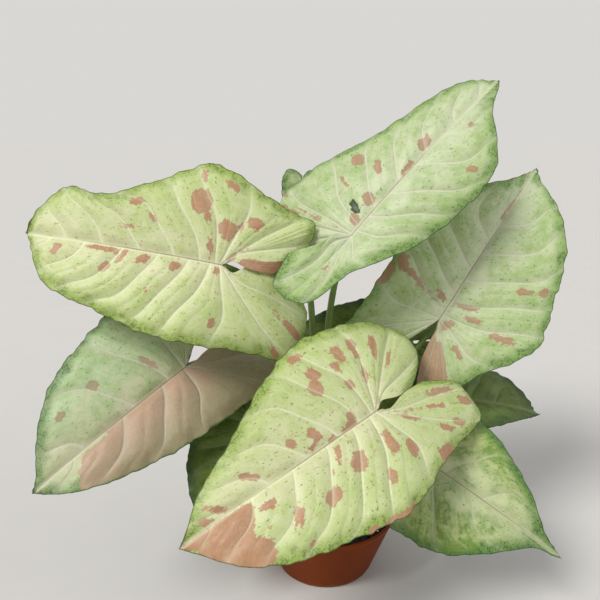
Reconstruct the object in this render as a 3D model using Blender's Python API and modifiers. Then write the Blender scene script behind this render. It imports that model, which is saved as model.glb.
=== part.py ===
"""Potted syngonium: ten arrow-shaped leaves on long stalks, rising from three
short crowns that stand in the soil of a small, squat plastic pot.

Metres, +Z up. The origin is the middle of the pot's flat underside, and the
front of the plant faces -Y.
"""

import math
from dataclasses import dataclass

import bmesh
import bpy
import numpy as np
from mathutils import Matrix, Vector


def mm(*sizes):
    """The sizes, given in millimetres, as a tuple in metres."""
    return tuple(size * 0.001 for size in sizes)


FIT_GAP = 0.0003

# Pot: a turned cup with a rounded lip and drain holes in its floor
POT_HEIGHT = 0.034
POT_RIM_RADIUS = 0.039
POT_FOOT_RADIUS = 0.026
POT_WALL = 0.0014
POT_FLOOR = 0.0016
POT_FOOT_ROUND = 0.0015
POT_SIDES = 40
DRAIN_COUNT = 4
DRAIN_RADIUS = 0.003
DRAIN_RING_RADIUS = 0.017
DRAIN_SIDES = 10

# Soil: a plug that fills the pot to just under the lip, a little higher in the middle
SOIL_BELOW_RIM = 0.0028
SOIL_CROWN_RISE = 0.0012
SOIL_SHOULDER_RADIUS = 0.0215
SOIL_SHOULDER_DROP = 0.0004
SOIL_GAP = 0.0004

# Crowns: the short stems that the leaf stalks spring from
CROWN_RADIUS = 0.0052
CROWN_NECK_RADIUS = 0.0036
CROWN_DEPTH = 0.012
CROWN_RISE = 0.014
CROWN_SIDES = 12
HOLE_SIDES = 16

# Stalks: each starts inside its crown and ends a gap short of the blade's underside
STALK_FOOT_RISE = 0.004
STALK_FOOT_RADIUS = 0.0021
STALK_TOP_RADIUS = 0.0014
STALK_POINTS = 14
STALK_BEVEL_RESOLUTION = 1
STALK_LEAN = 0.0022

# Blades: places along the leaf where its half widths are given, as parts of the
# midrib's length from the stalk to the tip, and where the vein to each starts
WIDTH_STATIONS = (0.13, 0.38, 0.62, 0.83, 0.95)
VEIN_STARTS = (0.04, 0.20, 0.44, 0.70, 0.91)

# Back lobes: places round the margin from the inner edge to the waist, as parts of the
# lobe's reach, and how far the edge has come from its end's width at the shoulder
LOBE_PLACES = (0.60, 0.91, 1.00, 0.95, 0.76, 0.32)
LOBE_SHOULDER = 0.7

# The veins bow towards the tip, fully so from this part of the midrib on, and the
# margin's waves start from nothing at the notch and are full from this part of it on
VEIN_BOW = 0.3
VEIN_BOW_FROM = 0.33
WAVES_FROM = 0.3

BLADE_THICKNESS = 0.0008
ROWS_ALONG = 26
COLUMNS_ACROSS = 6


@dataclass(frozen=True)
class Side:
    """One half of a blade.

    widths: half widths at the waist behind the stalk, then at each of WIDTH_STATIONS.
    lobe: the back lobe's reach behind the stalk, and how far its inner edge, its end and its
    outer edge lie from the midrib's line, less than nothing where they cross it.
    fold, droop: degrees that the half rises from the midrib, and turns down again by its margin.
    lobe_droop: degrees that the lobe has turned down at its end.
    phase: where along the margin its waves start, in waves.
    """

    widths: tuple
    lobe: tuple
    fold: float = 12
    droop: float = 24
    lobe_droop: float = 24
    phase: float = 0.0


@dataclass(frozen=True)
class Leaf:
    """One leaf: where its stalk meets the blade, how it faces, and its form.

    heading, pitch, roll: degrees of the midrib in plan from +X, of its rise, and of the turn about it.
    arch: degrees that the midrib has bent down by the tip.
    wave, waves: height of the margin's waves, and their number on each side. ripple: how far they
    also swell the half's width, as a part of it.
    reflex: degrees between the stalk's end and the midrib. rise, reach: handle lengths of the stalk's curve.
    """

    crown: str
    at: tuple
    heading: float
    pitch: float
    roll: float
    length: float
    left: Side
    right: Side
    colour: tuple
    arch: float = 24
    wave: float = 0.0014
    waves: float = 4
    ripple: float = 0.02
    reflex: float = 40
    rise: float = 0.06
    reach: float = 0.03


LIME = (0.52, 0.62, 0.22, 1)
MINT = (0.33, 0.50, 0.19, 1)
MINT_AND_PINK = (0.38, 0.40, 0.22, 1)
GREEN = (0.22, 0.36, 0.12, 1)
DARK_GREEN = (0.07, 0.15, 0.03, 1)

CROWNS = {
    "stem_left": mm(-15, 3),
    "stem_centre": mm(-3, 13),
    "stem_right": mm(13, -1),
}

LEAVES = {
    "leaf_upper_left": Leaf(
        crown="stem_left", at=mm(-51, -24, 175), heading=-168, pitch=14, roll=-71, length=0.090,
        left=Side(mm(39, 38, 36, 29.5, 22, 9), lobe=mm(49, 0.6, 20, 39)),
        right=Side(mm(37, 46, 34, 22, 24, 13), lobe=mm(43, 0.6, 24, 33), phase=0.3, lobe_droop=16),
        colour=LIME, arch=28, reflex=28, rise=0.10, reach=0.035),
    "leaf_upper_right": Leaf(
        crown="stem_centre", at=mm(11, -7, 186), heading=17, pitch=47, roll=52, length=0.114,
        left=Side(mm(63, 50, 33.5, 24, 15.5, 9), lobe=mm(35, 14, 34, 56), fold=0, droop=60, lobe_droop=52),
        right=Side(mm(14, 28, 33, 30, 11, 4), lobe=mm(48, -16, -6, 11), fold=24, droop=48,
                   phase=0.4, lobe_droop=-38),
        colour=MINT, arch=20, rise=0.08),
    "leaf_right": Leaf(
        crown="stem_right", at=mm(60, 11, 138), heading=20, pitch=55, roll=55, length=0.102,
        left=Side(mm(40, 38, 41, 31, 10, 3), lobe=mm(46, 13, 28, 42)),
        right=Side(mm(33, 49, 46, 37, 22, 6), lobe=mm(42, 4, 16, 27), phase=0.2),
        colour=MINT, arch=20),
    "leaf_front": Leaf(
        crown="stem_centre", at=mm(20, -50, 113), heading=-134, pitch=-7, roll=-45, length=0.102,
        left=Side(mm(36, 41, 38, 32, 20, 6.5), lobe=mm(66, 0.5, 17, 33), lobe_droop=14),
        right=Side(mm(41, 46, 37, 24, 14, 3.5), lobe=mm(53, 0, 16, 35), phase=0.5, lobe_droop=18),
        colour=LIME, arch=30),
    "leaf_lower_left": Leaf(
        crown="stem_left", at=mm(-70, -20, 123), heading=-133, pitch=-20, roll=-45, length=0.087,
        left=Side(mm(34, 31, 28, 22, 13, 5), lobe=mm(46, 0, 20, 34)),
        right=Side(mm(43, 45, 40.5, 31, 17, 4), lobe=mm(38, 16, 27, 37), phase=0.3),
        colour=MINT_AND_PINK, arch=25, reflex=20),
    "leaf_lower_right": Leaf(
        crown="stem_right", at=mm(47, -22, 75), heading=-34, pitch=-20, roll=45, length=0.080,
        left=Side(mm(29, 32, 29, 19, 5, 2), lobe=mm(23, 3, 14, 23)),
        right=Side(mm(34, 37, 34, 19.5, 4.5, 1.5), lobe=mm(28, 3, 15, 26), phase=0.4),
        colour=GREEN, arch=25, rise=0.03, reach=0.02),
    "leaf_small_right": Leaf(
        crown="stem_right", at=mm(71, 16, 90), heading=6, pitch=-6, roll=40, length=0.059,
        left=Side(mm(22, 24, 24, 20, 7, 2), lobe=mm(18, 3, 12, 20)),
        right=Side(mm(19, 18, 15, 10, 5, 2), lobe=mm(18, 3, 12, 20), phase=0.4),
        colour=DARK_GREEN, arch=25),
    "leaf_low_left": Leaf(
        crown="stem_left", at=mm(-34, -20, 91), heading=-118, pitch=-48, roll=-30, length=0.066,
        left=Side(mm(26, 27, 25, 18, 9, 3), lobe=mm(22, 3, 13, 23)),
        right=Side(mm(28, 31, 29, 21, 11, 4), lobe=mm(22, 3, 13, 23), phase=0.4),
        colour=DARK_GREEN, arch=20),
    "leaf_inner": Leaf(
        crown="stem_centre", at=mm(50, 40, 115), heading=-172, pitch=-4, roll=-66, length=0.088,
        left=Side(mm(43, 45, 38, 26, 12, 4), lobe=mm(34, 1, 17, 34)),
        right=Side(mm(28, 30, 28, 21, 11, 4), lobe=mm(30, 1, 14, 24), phase=0.4),
        colour=DARK_GREEN, arch=20, rise=0.03, reach=0.02),
    "leaf_small_back": Leaf(
        crown="stem_centre", at=mm(-12, 55, 205), heading=-80, pitch=-62, roll=0, length=0.044,
        left=Side(mm(14, 15, 14, 10, 5, 2), lobe=mm(9, 0.3, 6, 12), lobe_droop=8),
        right=Side(mm(12, 13, 12.5, 9, 4.5, 2), lobe=mm(9.5, 0.3, 6, 10.5), phase=0.4, lobe_droop=8),
        colour=GREEN, arch=15, wave=0.0008, rise=0.10),
}

PLANT = "potted_syngonium"


def clear_scene():
    """Removes every object of the open scene."""
    for old in list(bpy.data.objects):
        bpy.data.objects.remove(old, do_unlink=True)


def make_collection(name):
    """A new collection in the scene."""
    collection = bpy.data.collections.new(name)
    bpy.context.scene.collection.children.link(collection)
    return collection


def make_material(name, colour, roughness, metallic=0.0):
    """A Principled material."""
    material = bpy.data.materials.new(name)
    material.use_nodes = True
    shader = material.node_tree.nodes["Principled BSDF"]
    shader.inputs["Base Color"].default_value = colour
    shader.inputs["Roughness"].default_value = roughness
    shader.inputs["Metallic"].default_value = metallic
    material.diffuse_color = colour
    return material


def add_object(name, data, collection, material=None):
    """An object of the mesh or curve data, in the collection."""
    added = bpy.data.objects.new(name, data)
    collection.objects.link(added)
    if material:
        data.materials.append(material)
    return added


def mesh_from(fill, name):
    """A mesh whose faces fill(bm) makes."""
    bm = bmesh.new()
    fill(bm)
    mesh = bpy.data.meshes.new(name)
    bm.to_mesh(mesh)
    bm.free()
    return mesh


def turned(name, profile, sides, collection, material):
    """A solid turned about Z from (radius, height) points, axis to axis, the outer side running down."""
    mesh = bpy.data.meshes.new(name)
    points = [(radius, 0, height) for radius, height in profile]
    mesh.from_pydata(points, [(i, i + 1) for i in range(len(points) - 1)], [])
    body = add_object(name, mesh, collection, material)
    screw = body.modifiers.new("Turn", "SCREW")
    screw.steps = sides
    screw.render_steps = sides
    screw.use_merge_vertices = True
    screw.merge_threshold = 0.00005
    screw.use_smooth_shade = True
    return body


def cut(body, cutters):
    """Takes the collection's solids out of the body."""
    boolean = body.modifiers.new("Cut", "BOOLEAN")
    boolean.operation = "DIFFERENCE"
    boolean.operand_type = "COLLECTION"
    boolean.collection = cutters
    boolean.solver = "EXACT"


def drill(name, place, radius, depth, sides, cutters):
    """A round cutter that stands with its middle at the place."""
    def fill(bm):
        bmesh.ops.create_cone(bm, cap_ends=True, segments=sides, radius1=radius, radius2=radius, depth=depth)

    cutter = add_object(name, mesh_from(fill, name), cutters)
    cutter.location = place
    cutter.hide_render = True
    cutter.display_type = "WIRE"
    return cutter


def arc(centre, radius, start, end, steps):
    """Points (radius, height) of an arc about the centre, by degrees from +X towards +Z."""
    angles = np.radians(np.linspace(start, end, steps + 1))
    return [(centre[0] + radius * math.cos(angle), centre[1] + radius * math.sin(angle)) for angle in angles]


def wall_radius(height):
    """The pot's outer radius at a height."""
    return POT_FOOT_RADIUS + (POT_RIM_RADIUS - POT_FOOT_RADIUS) * height / POT_HEIGHT


def make_pot(parts, cutters):
    """The pot, its wall leaning out from a flat floor, with the lip and the foot rounded."""
    lip = POT_WALL / 2
    lip_centre = (wall_radius(POT_HEIGHT - lip) - lip, POT_HEIGHT - lip)
    foot_centre = (POT_FOOT_RADIUS - POT_FOOT_ROUND, POT_FOOT_ROUND)
    profile = [(0, POT_FLOOR), (wall_radius(POT_FLOOR) - POT_WALL, POT_FLOOR)]
    profile += arc(lip_centre, lip, 160, -20, 4)
    profile += arc(foot_centre, POT_FOOT_ROUND, -20, -90, 3)
    profile += [(0, 0)]
    plastic = make_material("terracotta_plastic", (0.20, 0.055, 0.022, 1), 0.42)
    pot = turned("pot", profile, POT_SIDES, parts, plastic)
    for index in range(DRAIN_COUNT):
        angle = 2 * math.pi * (index + 0.5) / DRAIN_COUNT
        place = (DRAIN_RING_RADIUS * math.cos(angle), DRAIN_RING_RADIUS * math.sin(angle), POT_FLOOR / 2)
        drill(f"drain_{index + 1}", place, DRAIN_RADIUS, POT_FLOOR + FIT_GAP, DRAIN_SIDES, cutters)
    cut(pot, cutters)
    return pot


def soil_top():
    """The height of the soil where the crowns stand."""
    return POT_HEIGHT - SOIL_BELOW_RIM + SOIL_CROWN_RISE


def make_soil(parts, cutters):
    """The soil plug, a gap inside the pot, with a plain hole for each crown."""
    floor = POT_FLOOR + FIT_GAP
    edge = POT_HEIGHT - SOIL_BELOW_RIM
    wall = POT_WALL + SOIL_GAP
    profile = [
        (0, soil_top()),
        (SOIL_SHOULDER_RADIUS, soil_top() - SOIL_SHOULDER_DROP),
        (wall_radius(edge) - wall, edge),
        (wall_radius(floor) - wall, floor),
        (0, floor),
    ]
    soil = turned("soil", profile, POT_SIDES, parts, make_material("soil", (0.022, 0.014, 0.011, 1), 0.95))
    for name, (x, y) in CROWNS.items():
        depth = 2 * (CROWN_DEPTH + FIT_GAP)
        drill(f"hole_{name}", (x, y, soil_top()), CROWN_RADIUS + FIT_GAP, depth, HOLE_SIDES, cutters)
    cut(soil, cutters)
    return soil


def smooth_curve(values, at):
    """Values read at the places of a Catmull-Rom curve through the rows of a table."""
    table = np.asarray(values, dtype=float)
    table = np.vstack([2 * table[0] - table[1], table, 2 * table[-1] - table[-2]])
    first = np.clip(np.floor(at).astype(int), 0, len(table) - 4)
    part = (at - first)[..., None]
    before, here, after, beyond = (table[first + step] for step in range(4))
    slope = after - before
    bow = 2 * before - 5 * here + 4 * after - beyond
    twist = 3 * (here - after) + beyond - before
    return here + 0.5 * part * (slope + part * (bow + part * twist))


def side_outline(leaf, side):
    """Points of one half's margin from the inner edge to the tip: along, across, and where their vein starts."""
    reach, inner, end, outer = side.lobe
    shoulder = end + LOBE_SHOULDER * (outer - end)
    edges = (inner, (inner + end) / 2, end, shoulder, outer, side.widths[0])
    points = [(-place * reach, edge, 0) for place, edge in zip(LOBE_PLACES, edges)]
    for station, width, start in zip(WIDTH_STATIONS, side.widths[1:], VEIN_STARTS):
        points.append((station * leaf.length, width, start * leaf.length))
    points.append((leaf.length, 0, leaf.length))
    return points


def margin_wave(leaf, side, along):
    """The waves along a half's margin, between -1 and 1, growing from nothing at the notch."""
    return np.clip(along / WAVES_FROM, 0, 1) * np.sin(2 * np.pi * (leaf.waves * along + side.phase))


def flat_half(leaf, side, along, across):
    """Places in the flat blade: along 0 at the notch to 1 at the tip, across 0 at the midrib to 1 at the margin."""
    outline = side_outline(leaf, side)
    margin = smooth_curve(outline, along * (len(outline) - 1))
    start = np.clip(margin[..., 2], 0, leaf.length)
    forward = 1 + VEIN_BOW * np.clip(start / (VEIN_BOW_FROM * leaf.length), 0, 1)
    x = start + (margin[..., 0] - start) * across ** forward
    return x, margin[..., 1] * across * (1 + leaf.ripple * margin_wave(leaf, side, along))


def bent_half(leaf, side, hand, along, across):
    """The half's places after its fold, waves and arch. hand is 1 for the left half, -1 for the right."""
    x, y = flat_half(leaf, side, along, across)
    rise = np.radians(side.fold) - np.radians(side.droop) * np.abs(y) / max(side.widths) / 2
    z = np.abs(y) * np.sin(rise) + leaf.wave * across ** 3 * margin_wave(leaf, side, along)
    y = hand * y * np.cos(rise)
    ahead = x > 0
    down = np.where(ahead, np.radians(leaf.arch) * x / leaf.length, np.radians(side.lobe_droop) * x / side.lobe[0])
    x, z = x * np.cos(down / 2) + z * np.sin(down), z * np.cos(down) - x * np.sin(down / 2)
    return np.stack([x, y, z], axis=-1)


def leaf_matrix(leaf):
    """Turns and places the blade: x along the midrib, z out of its upper face."""
    turn = Matrix.Rotation(math.radians(leaf.heading), 4, "Z")
    turn = turn @ Matrix.Rotation(-math.radians(leaf.pitch), 4, "Y")
    turn = turn @ Matrix.Rotation(math.radians(leaf.roll), 4, "X")
    return Matrix.Translation(Vector(leaf.at)) @ turn


def make_blade(name, leaf, parts):
    """The blade: a grid bent to the leaf's form, closed at the stalk and the tip, and given its thickness."""
    def fill(bm):
        bmesh.ops.create_grid(bm, x_segments=ROWS_ALONG, y_segments=COLUMNS_ACROSS, size=1)
        places = np.array([vertex.co for vertex in bm.verts])
        along = (places[:, 0] + 1) / 2
        across = np.abs(places[:, 1])
        left = bent_half(leaf, leaf.left, 1, along, across)
        right = bent_half(leaf, leaf.right, -1, along, across)
        bent = np.where(places[:, 1:2] > 0, left, right)
        for vertex, place in zip(bm.verts, bent):
            vertex.co = place
        bmesh.ops.remove_doubles(bm, verts=bm.verts, dist=0.00005)
        bmesh.ops.triangulate(bm, faces=bm.faces)
        for face in bm.faces:
            face.smooth = True

    blade = add_object(name, mesh_from(fill, name), parts, make_material(name, leaf.colour, 0.45))
    blade.matrix_world = leaf_matrix(leaf)
    thick = blade.modifiers.new("Thickness", "SOLIDIFY")
    thick.thickness = BLADE_THICKNESS
    thick.offset = 0
    return blade


def stalk_points(leaf):
    """A curve from the crown to the underside of the blade, a gap short of it."""
    turn = leaf_matrix(leaf).to_3x3()
    reflex = math.radians(leaf.reflex)
    arrival = turn @ Vector((math.cos(reflex), 0, math.sin(reflex)))
    below = BLADE_THICKNESS / 2 + FIT_GAP + STALK_TOP_RADIUS * math.cos(reflex)
    top = Vector(leaf.at) - arrival * (below / math.sin(reflex))
    x, y = CROWNS[leaf.crown]
    lean = Vector((top.x - x, top.y - y, 0)).normalized() * STALK_LEAN
    foot = Vector((x, y, soil_top() + STALK_FOOT_RISE)) + lean
    handles = [foot, foot + Vector((0, 0, leaf.rise)), top - arrival * leaf.reach, top]
    points = []
    for step in range(STALK_POINTS + 1):
        t = step / STALK_POINTS
        weights = ((1 - t) ** 3, 3 * t * (1 - t) ** 2, 3 * t * t * (1 - t), t ** 3)
        points.append(sum((weight * handle for weight, handle in zip(weights, handles)), Vector()))
    return points


def make_stalk(name, leaf, tools):
    """The stalk as a closed mesh, thinning towards the blade."""
    curve = bpy.data.curves.new(name, "CURVE")
    curve.dimensions = "3D"
    curve.bevel_depth = 1
    curve.bevel_resolution = STALK_BEVEL_RESOLUTION
    curve.use_fill_caps = True
    spline = curve.splines.new("POLY")
    points = stalk_points(leaf)
    spline.points.add(len(points) - 1)
    for index, (point, place) in enumerate(zip(spline.points, points)):
        point.co = (*place, 1)
        point.radius = STALK_FOOT_RADIUS + (STALK_TOP_RADIUS - STALK_FOOT_RADIUS) * index / (len(points) - 1)
    rod = add_object(name, curve, tools)
    bpy.context.view_layer.update()
    mesh = bpy.data.meshes.new_from_object(rod.evaluated_get(bpy.context.evaluated_depsgraph_get()))
    bpy.data.objects.remove(rod, do_unlink=True)
    bm = bmesh.new()
    bm.from_mesh(mesh)
    bmesh.ops.remove_doubles(bm, verts=bm.verts, dist=0.00002)
    bm.to_mesh(mesh)
    bm.free()
    return add_object(name, mesh, tools)


def make_stem(name, parts):
    """A crown with its stalks, joined as one body."""
    x, y = CROWNS[name]
    tools = make_collection(f"{name}_stalks")
    low = soil_top() - CROWN_DEPTH
    high = soil_top() + CROWN_RISE

    def fill(bm):
        bmesh.ops.create_cone(
            bm, cap_ends=True, segments=CROWN_SIDES, radius1=CROWN_RADIUS, radius2=CROWN_NECK_RADIUS,
            depth=high - low, matrix=Matrix.Translation((x, y, (low + high) / 2)))

    crown = add_object(name, mesh_from(fill, name), parts)
    for leaf_name, leaf in LEAVES.items():
        if leaf.crown == name:
            make_stalk(f"{leaf_name}_stalk", leaf, tools)
    union = crown.modifiers.new("Join", "BOOLEAN")
    union.operation = "UNION"
    union.operand_type = "COLLECTION"
    union.collection = tools
    union.solver = "EXACT"
    bpy.context.view_layer.update()
    joined = bpy.data.meshes.new_from_object(crown.evaluated_get(bpy.context.evaluated_depsgraph_get()))
    crown.modifiers.clear()
    crown.data = joined
    crown.data.shade_smooth()
    crown.data.materials.append(make_material(name, (0.055, 0.10, 0.018, 1), 0.5))
    for stalk in list(tools.objects):
        bpy.data.objects.remove(stalk, do_unlink=True)
    bpy.data.collections.remove(tools)
    return crown


def main():
    """Builds the plant, its soil and its pot."""
    clear_scene()
    parts = make_collection(PLANT)
    cutters = make_collection("cutters")
    make_pot(parts, cutters)
    make_soil(parts, cutters)
    for name in CROWNS:
        make_stem(name, parts)
    for name, leaf in LEAVES.items():
        make_blade(name, leaf, parts)
    bpy.context.view_layer.update()


main()
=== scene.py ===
"""The finished look of a potted syngonium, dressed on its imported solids.

Metres, +Z up, the front of the plant towards -Y. Ten variegated leaves stand on
long stalks, which rise from three short crowns in a small terracotta-coloured pot.
"""

import math
from dataclasses import dataclass

import bpy
import numpy as np
from bpy.props import FloatProperty, FloatVectorProperty, IntProperty, PointerProperty
from bpy.types import Operator, Panel, PropertyGroup
from mathutils import Matrix, Vector


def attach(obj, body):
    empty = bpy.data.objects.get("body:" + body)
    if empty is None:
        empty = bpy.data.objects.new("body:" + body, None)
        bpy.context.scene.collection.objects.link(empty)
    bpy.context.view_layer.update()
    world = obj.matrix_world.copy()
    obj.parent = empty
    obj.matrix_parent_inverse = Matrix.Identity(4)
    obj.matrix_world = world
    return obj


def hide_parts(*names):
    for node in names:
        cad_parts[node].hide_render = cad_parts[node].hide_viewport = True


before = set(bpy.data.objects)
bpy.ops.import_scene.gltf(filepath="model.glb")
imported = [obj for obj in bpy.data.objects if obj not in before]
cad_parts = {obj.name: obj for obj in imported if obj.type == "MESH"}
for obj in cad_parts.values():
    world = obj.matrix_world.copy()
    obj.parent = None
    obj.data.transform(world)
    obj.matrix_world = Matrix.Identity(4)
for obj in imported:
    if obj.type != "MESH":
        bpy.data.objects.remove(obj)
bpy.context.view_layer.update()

bl_info = {
    "name": "Potted syngonium",
    "version": (1, 0, 0),
    "blender": (4, 5, 0),
    "location": "3D View > Sidebar > Syngonium",
    "description": "Leaves, stalks, soil and pot of a potted syngonium",
    "category": "Add Mesh",
}

BODY = "root"


def mm(*sizes):
    """The sizes, given in millimetres, as a tuple in metres."""
    return tuple(size * 0.001 for size in sizes)


def screen(red, green, blue, alpha=1.0):
    """A colour given as it looks on a screen, 0 to 255, as linear light."""
    parts = np.array((red, green, blue)) / 255
    linear = np.where(parts <= 0.04045, parts / 12.92, ((parts + 0.055) / 1.055) ** 2.4)
    return (*linear.tolist(), alpha)


# Form of the leaves, as in the solids. A spoke is a line that fans out from the midrib to the
# margin, numbered from 0 at the lobe's inner edge to 11 at the tip.
WIDTH_STATIONS = (0.13, 0.38, 0.62, 0.83, 0.95)
VEIN_STARTS = (0.04, 0.20, 0.44, 0.70, 0.91)
LOBE_PLACES = (0.60, 0.91, 1.00, 0.95, 0.76, 0.32)
LAST_SPOKE = len(LOBE_PLACES) + len(WIDTH_STATIONS)
LOBE_SHOULDER = 0.7
VEIN_BOW = 0.3
VEIN_BOW_FROM = 0.33
WAVES_FROM = 0.3

# Form that is finer than the solids': the notch by the stalk, a lobe that laps the other, and the margin's
# unevenness and ruffle. Each of UNEVEN_SINES is a height, a rate, and what the phase and a shift add.
SINUS_PLACE = 0.2
SINUS_SPOKES = 4.5
LAP_RANGE = (0.22, 0.5)
LAP_SPOKES = 3
LAP_SINK = 0.75
LOBE_UNEVEN = 0.4
UNEVEN_SINES = ((0.009, 9.3, 7, 0), (0.007, 17.1, 0, 2), (0.004, 31, 9, 0))
RUFFLE_RANGE = (2.0, 6.0)
RUFFLE_POWER = 6
RUFFLE_RATE = 12.4
RUFFLE_TURN = 5

# Veins: the spokes that they leave the midrib at, how they sweep ahead of the waist and behind it, and how
# they wander
LEFT_VEINS = (2.2, 4.1, 5.3, 6.1, 6.8, 7.5, 8.2, 8.95, 9.75)
RIGHT_VEINS = (2.0, 3.9, 5.1, 5.85, 6.5, 7.2, 7.9, 8.6, 9.4)
MANY_VEINS = (LEFT_VEINS, RIGHT_VEINS)
FEW_VEINS = ((2.3, 4.4, 5.8, 6.9, 8.0, 9.2), (2.1, 4.2, 5.6, 6.6, 7.7, 8.9))
VEIN_SWEEP = 0.5
SWEEP_AHEAD = (5.0, 6.4)
SWEEP_BEHIND = (4.6, 3.2)
VEIN_WANDER = 0.1
WANDER_ACROSS = 6.5
WANDER_ALONG = 2.1

# Marks: the power of each one's outline, where 2 is an ellipse and more is squarer, and their absence
PATCH_POWER = 3.0
ZONE_POWER = 9.0
TEAR_POWER = 1.6
ZONE_CLEANNESS = 2.2
NO_PINK = -0.01
NO_TEAR = (-9, -8, -9, -8)

# Relief of the blades: the mesh's density, the quilting, the tear, and the two skins' grooves and ridges
ROWS_STRETCH = 1.9
COLUMN_CROWDING = 0.6
WIDEST_QUILT = 0.014
QUILT_POWER = 1.8
MINOR_DEPTH = 0.22
MINOR_PART = 0.09
CALM_BY_RIB = 0.005
CALM_BY_EDGE = 0.008
TEAR_DEPTH = 0.0012
TEAR_EDGE = (-0.0004, 0.0008)
UPRIGHT_RANGE = (0.0005, 0.004)
EDGE_PART = 0.3
EDGE_WIDTH = 0.0015
GROOVE_DEPTH = 0.00022
GROOVE_WIDTH = 0.0009
KEEL_DEPTH = 0.0003
KEEL_GROWTH = 0.0010
KEEL_WIDTH = 0.0014
RIDGE_WIDTH = 0.0008
RIDGE_ABOVE = 0.00014
RIDGE_BELOW = 0.00030
RIDGES_FROM = 0.002


@dataclass(frozen=True)
class Side:
    """One half of a blade.

    widths: half widths at the waist behind the stalk, then at each of WIDTH_STATIONS.
    lobe: the back lobe's reach, and how far its inner edge, end and outer edge lie from the midrib's line.
    fold, droop: degrees that the half rises from the midrib, and turns down again by its margin.
    lobe_droop: degrees that the lobe has turned down at its end.
    phase: where along the margin its waves start, in waves.
    sinus: how far the inner edge bows away from the notch, close to the stalk.
    lap: how far the inner edge reaches beneath the other lobe, past the notch.
    patches: rounded pink patches, each from spoke to spoke and from part to part of the way across.
    zones: large pink parts with straighter sides, stated the same way. tear: one tear, sunk into the blade
    and painted with the dark shade that shows in its slit.
    """

    widths: tuple
    lobe: tuple
    fold: float = 12
    droop: float = 24
    lobe_droop: float = 24
    phase: float = 0.0
    sinus: float = 0.0008
    lap: float = 0.0
    patches: tuple = ()
    zones: tuple = ()
    tear: tuple = ()


@dataclass(frozen=True)
class Leaf:
    """One leaf.

    crown, at: the crown that it springs from, and the place of its stalk's end.
    heading, pitch, roll: degrees that the midrib turns about Z and rises, and that the blade rolls about it.
    length, arch: from the stalk's end to the tip, and degrees that the midrib turns down on the way.
    wave, waves, ripple: the margin's waves, in height, in number, and in swelling across.
    reflex, rise, reach: degrees between the stalk's end and the midrib, and how straight the stalk leaves
    the crown and meets the blade.
    ruffle: height of the margin's fine ruffle. veins: the main veins' spokes, on the left and on the right.
    """

    crown: str
    at: tuple
    heading: float
    pitch: float
    roll: float
    length: float
    left: Side
    right: Side
    finish: str
    arch: float = 24
    wave: float = 0.0014
    waves: float = 4
    ripple: float = 0.02
    reflex: float = 40
    rise: float = 0.06
    reach: float = 0.03
    ruffle: float = 0.0004
    veins: tuple = MANY_VEINS


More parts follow.
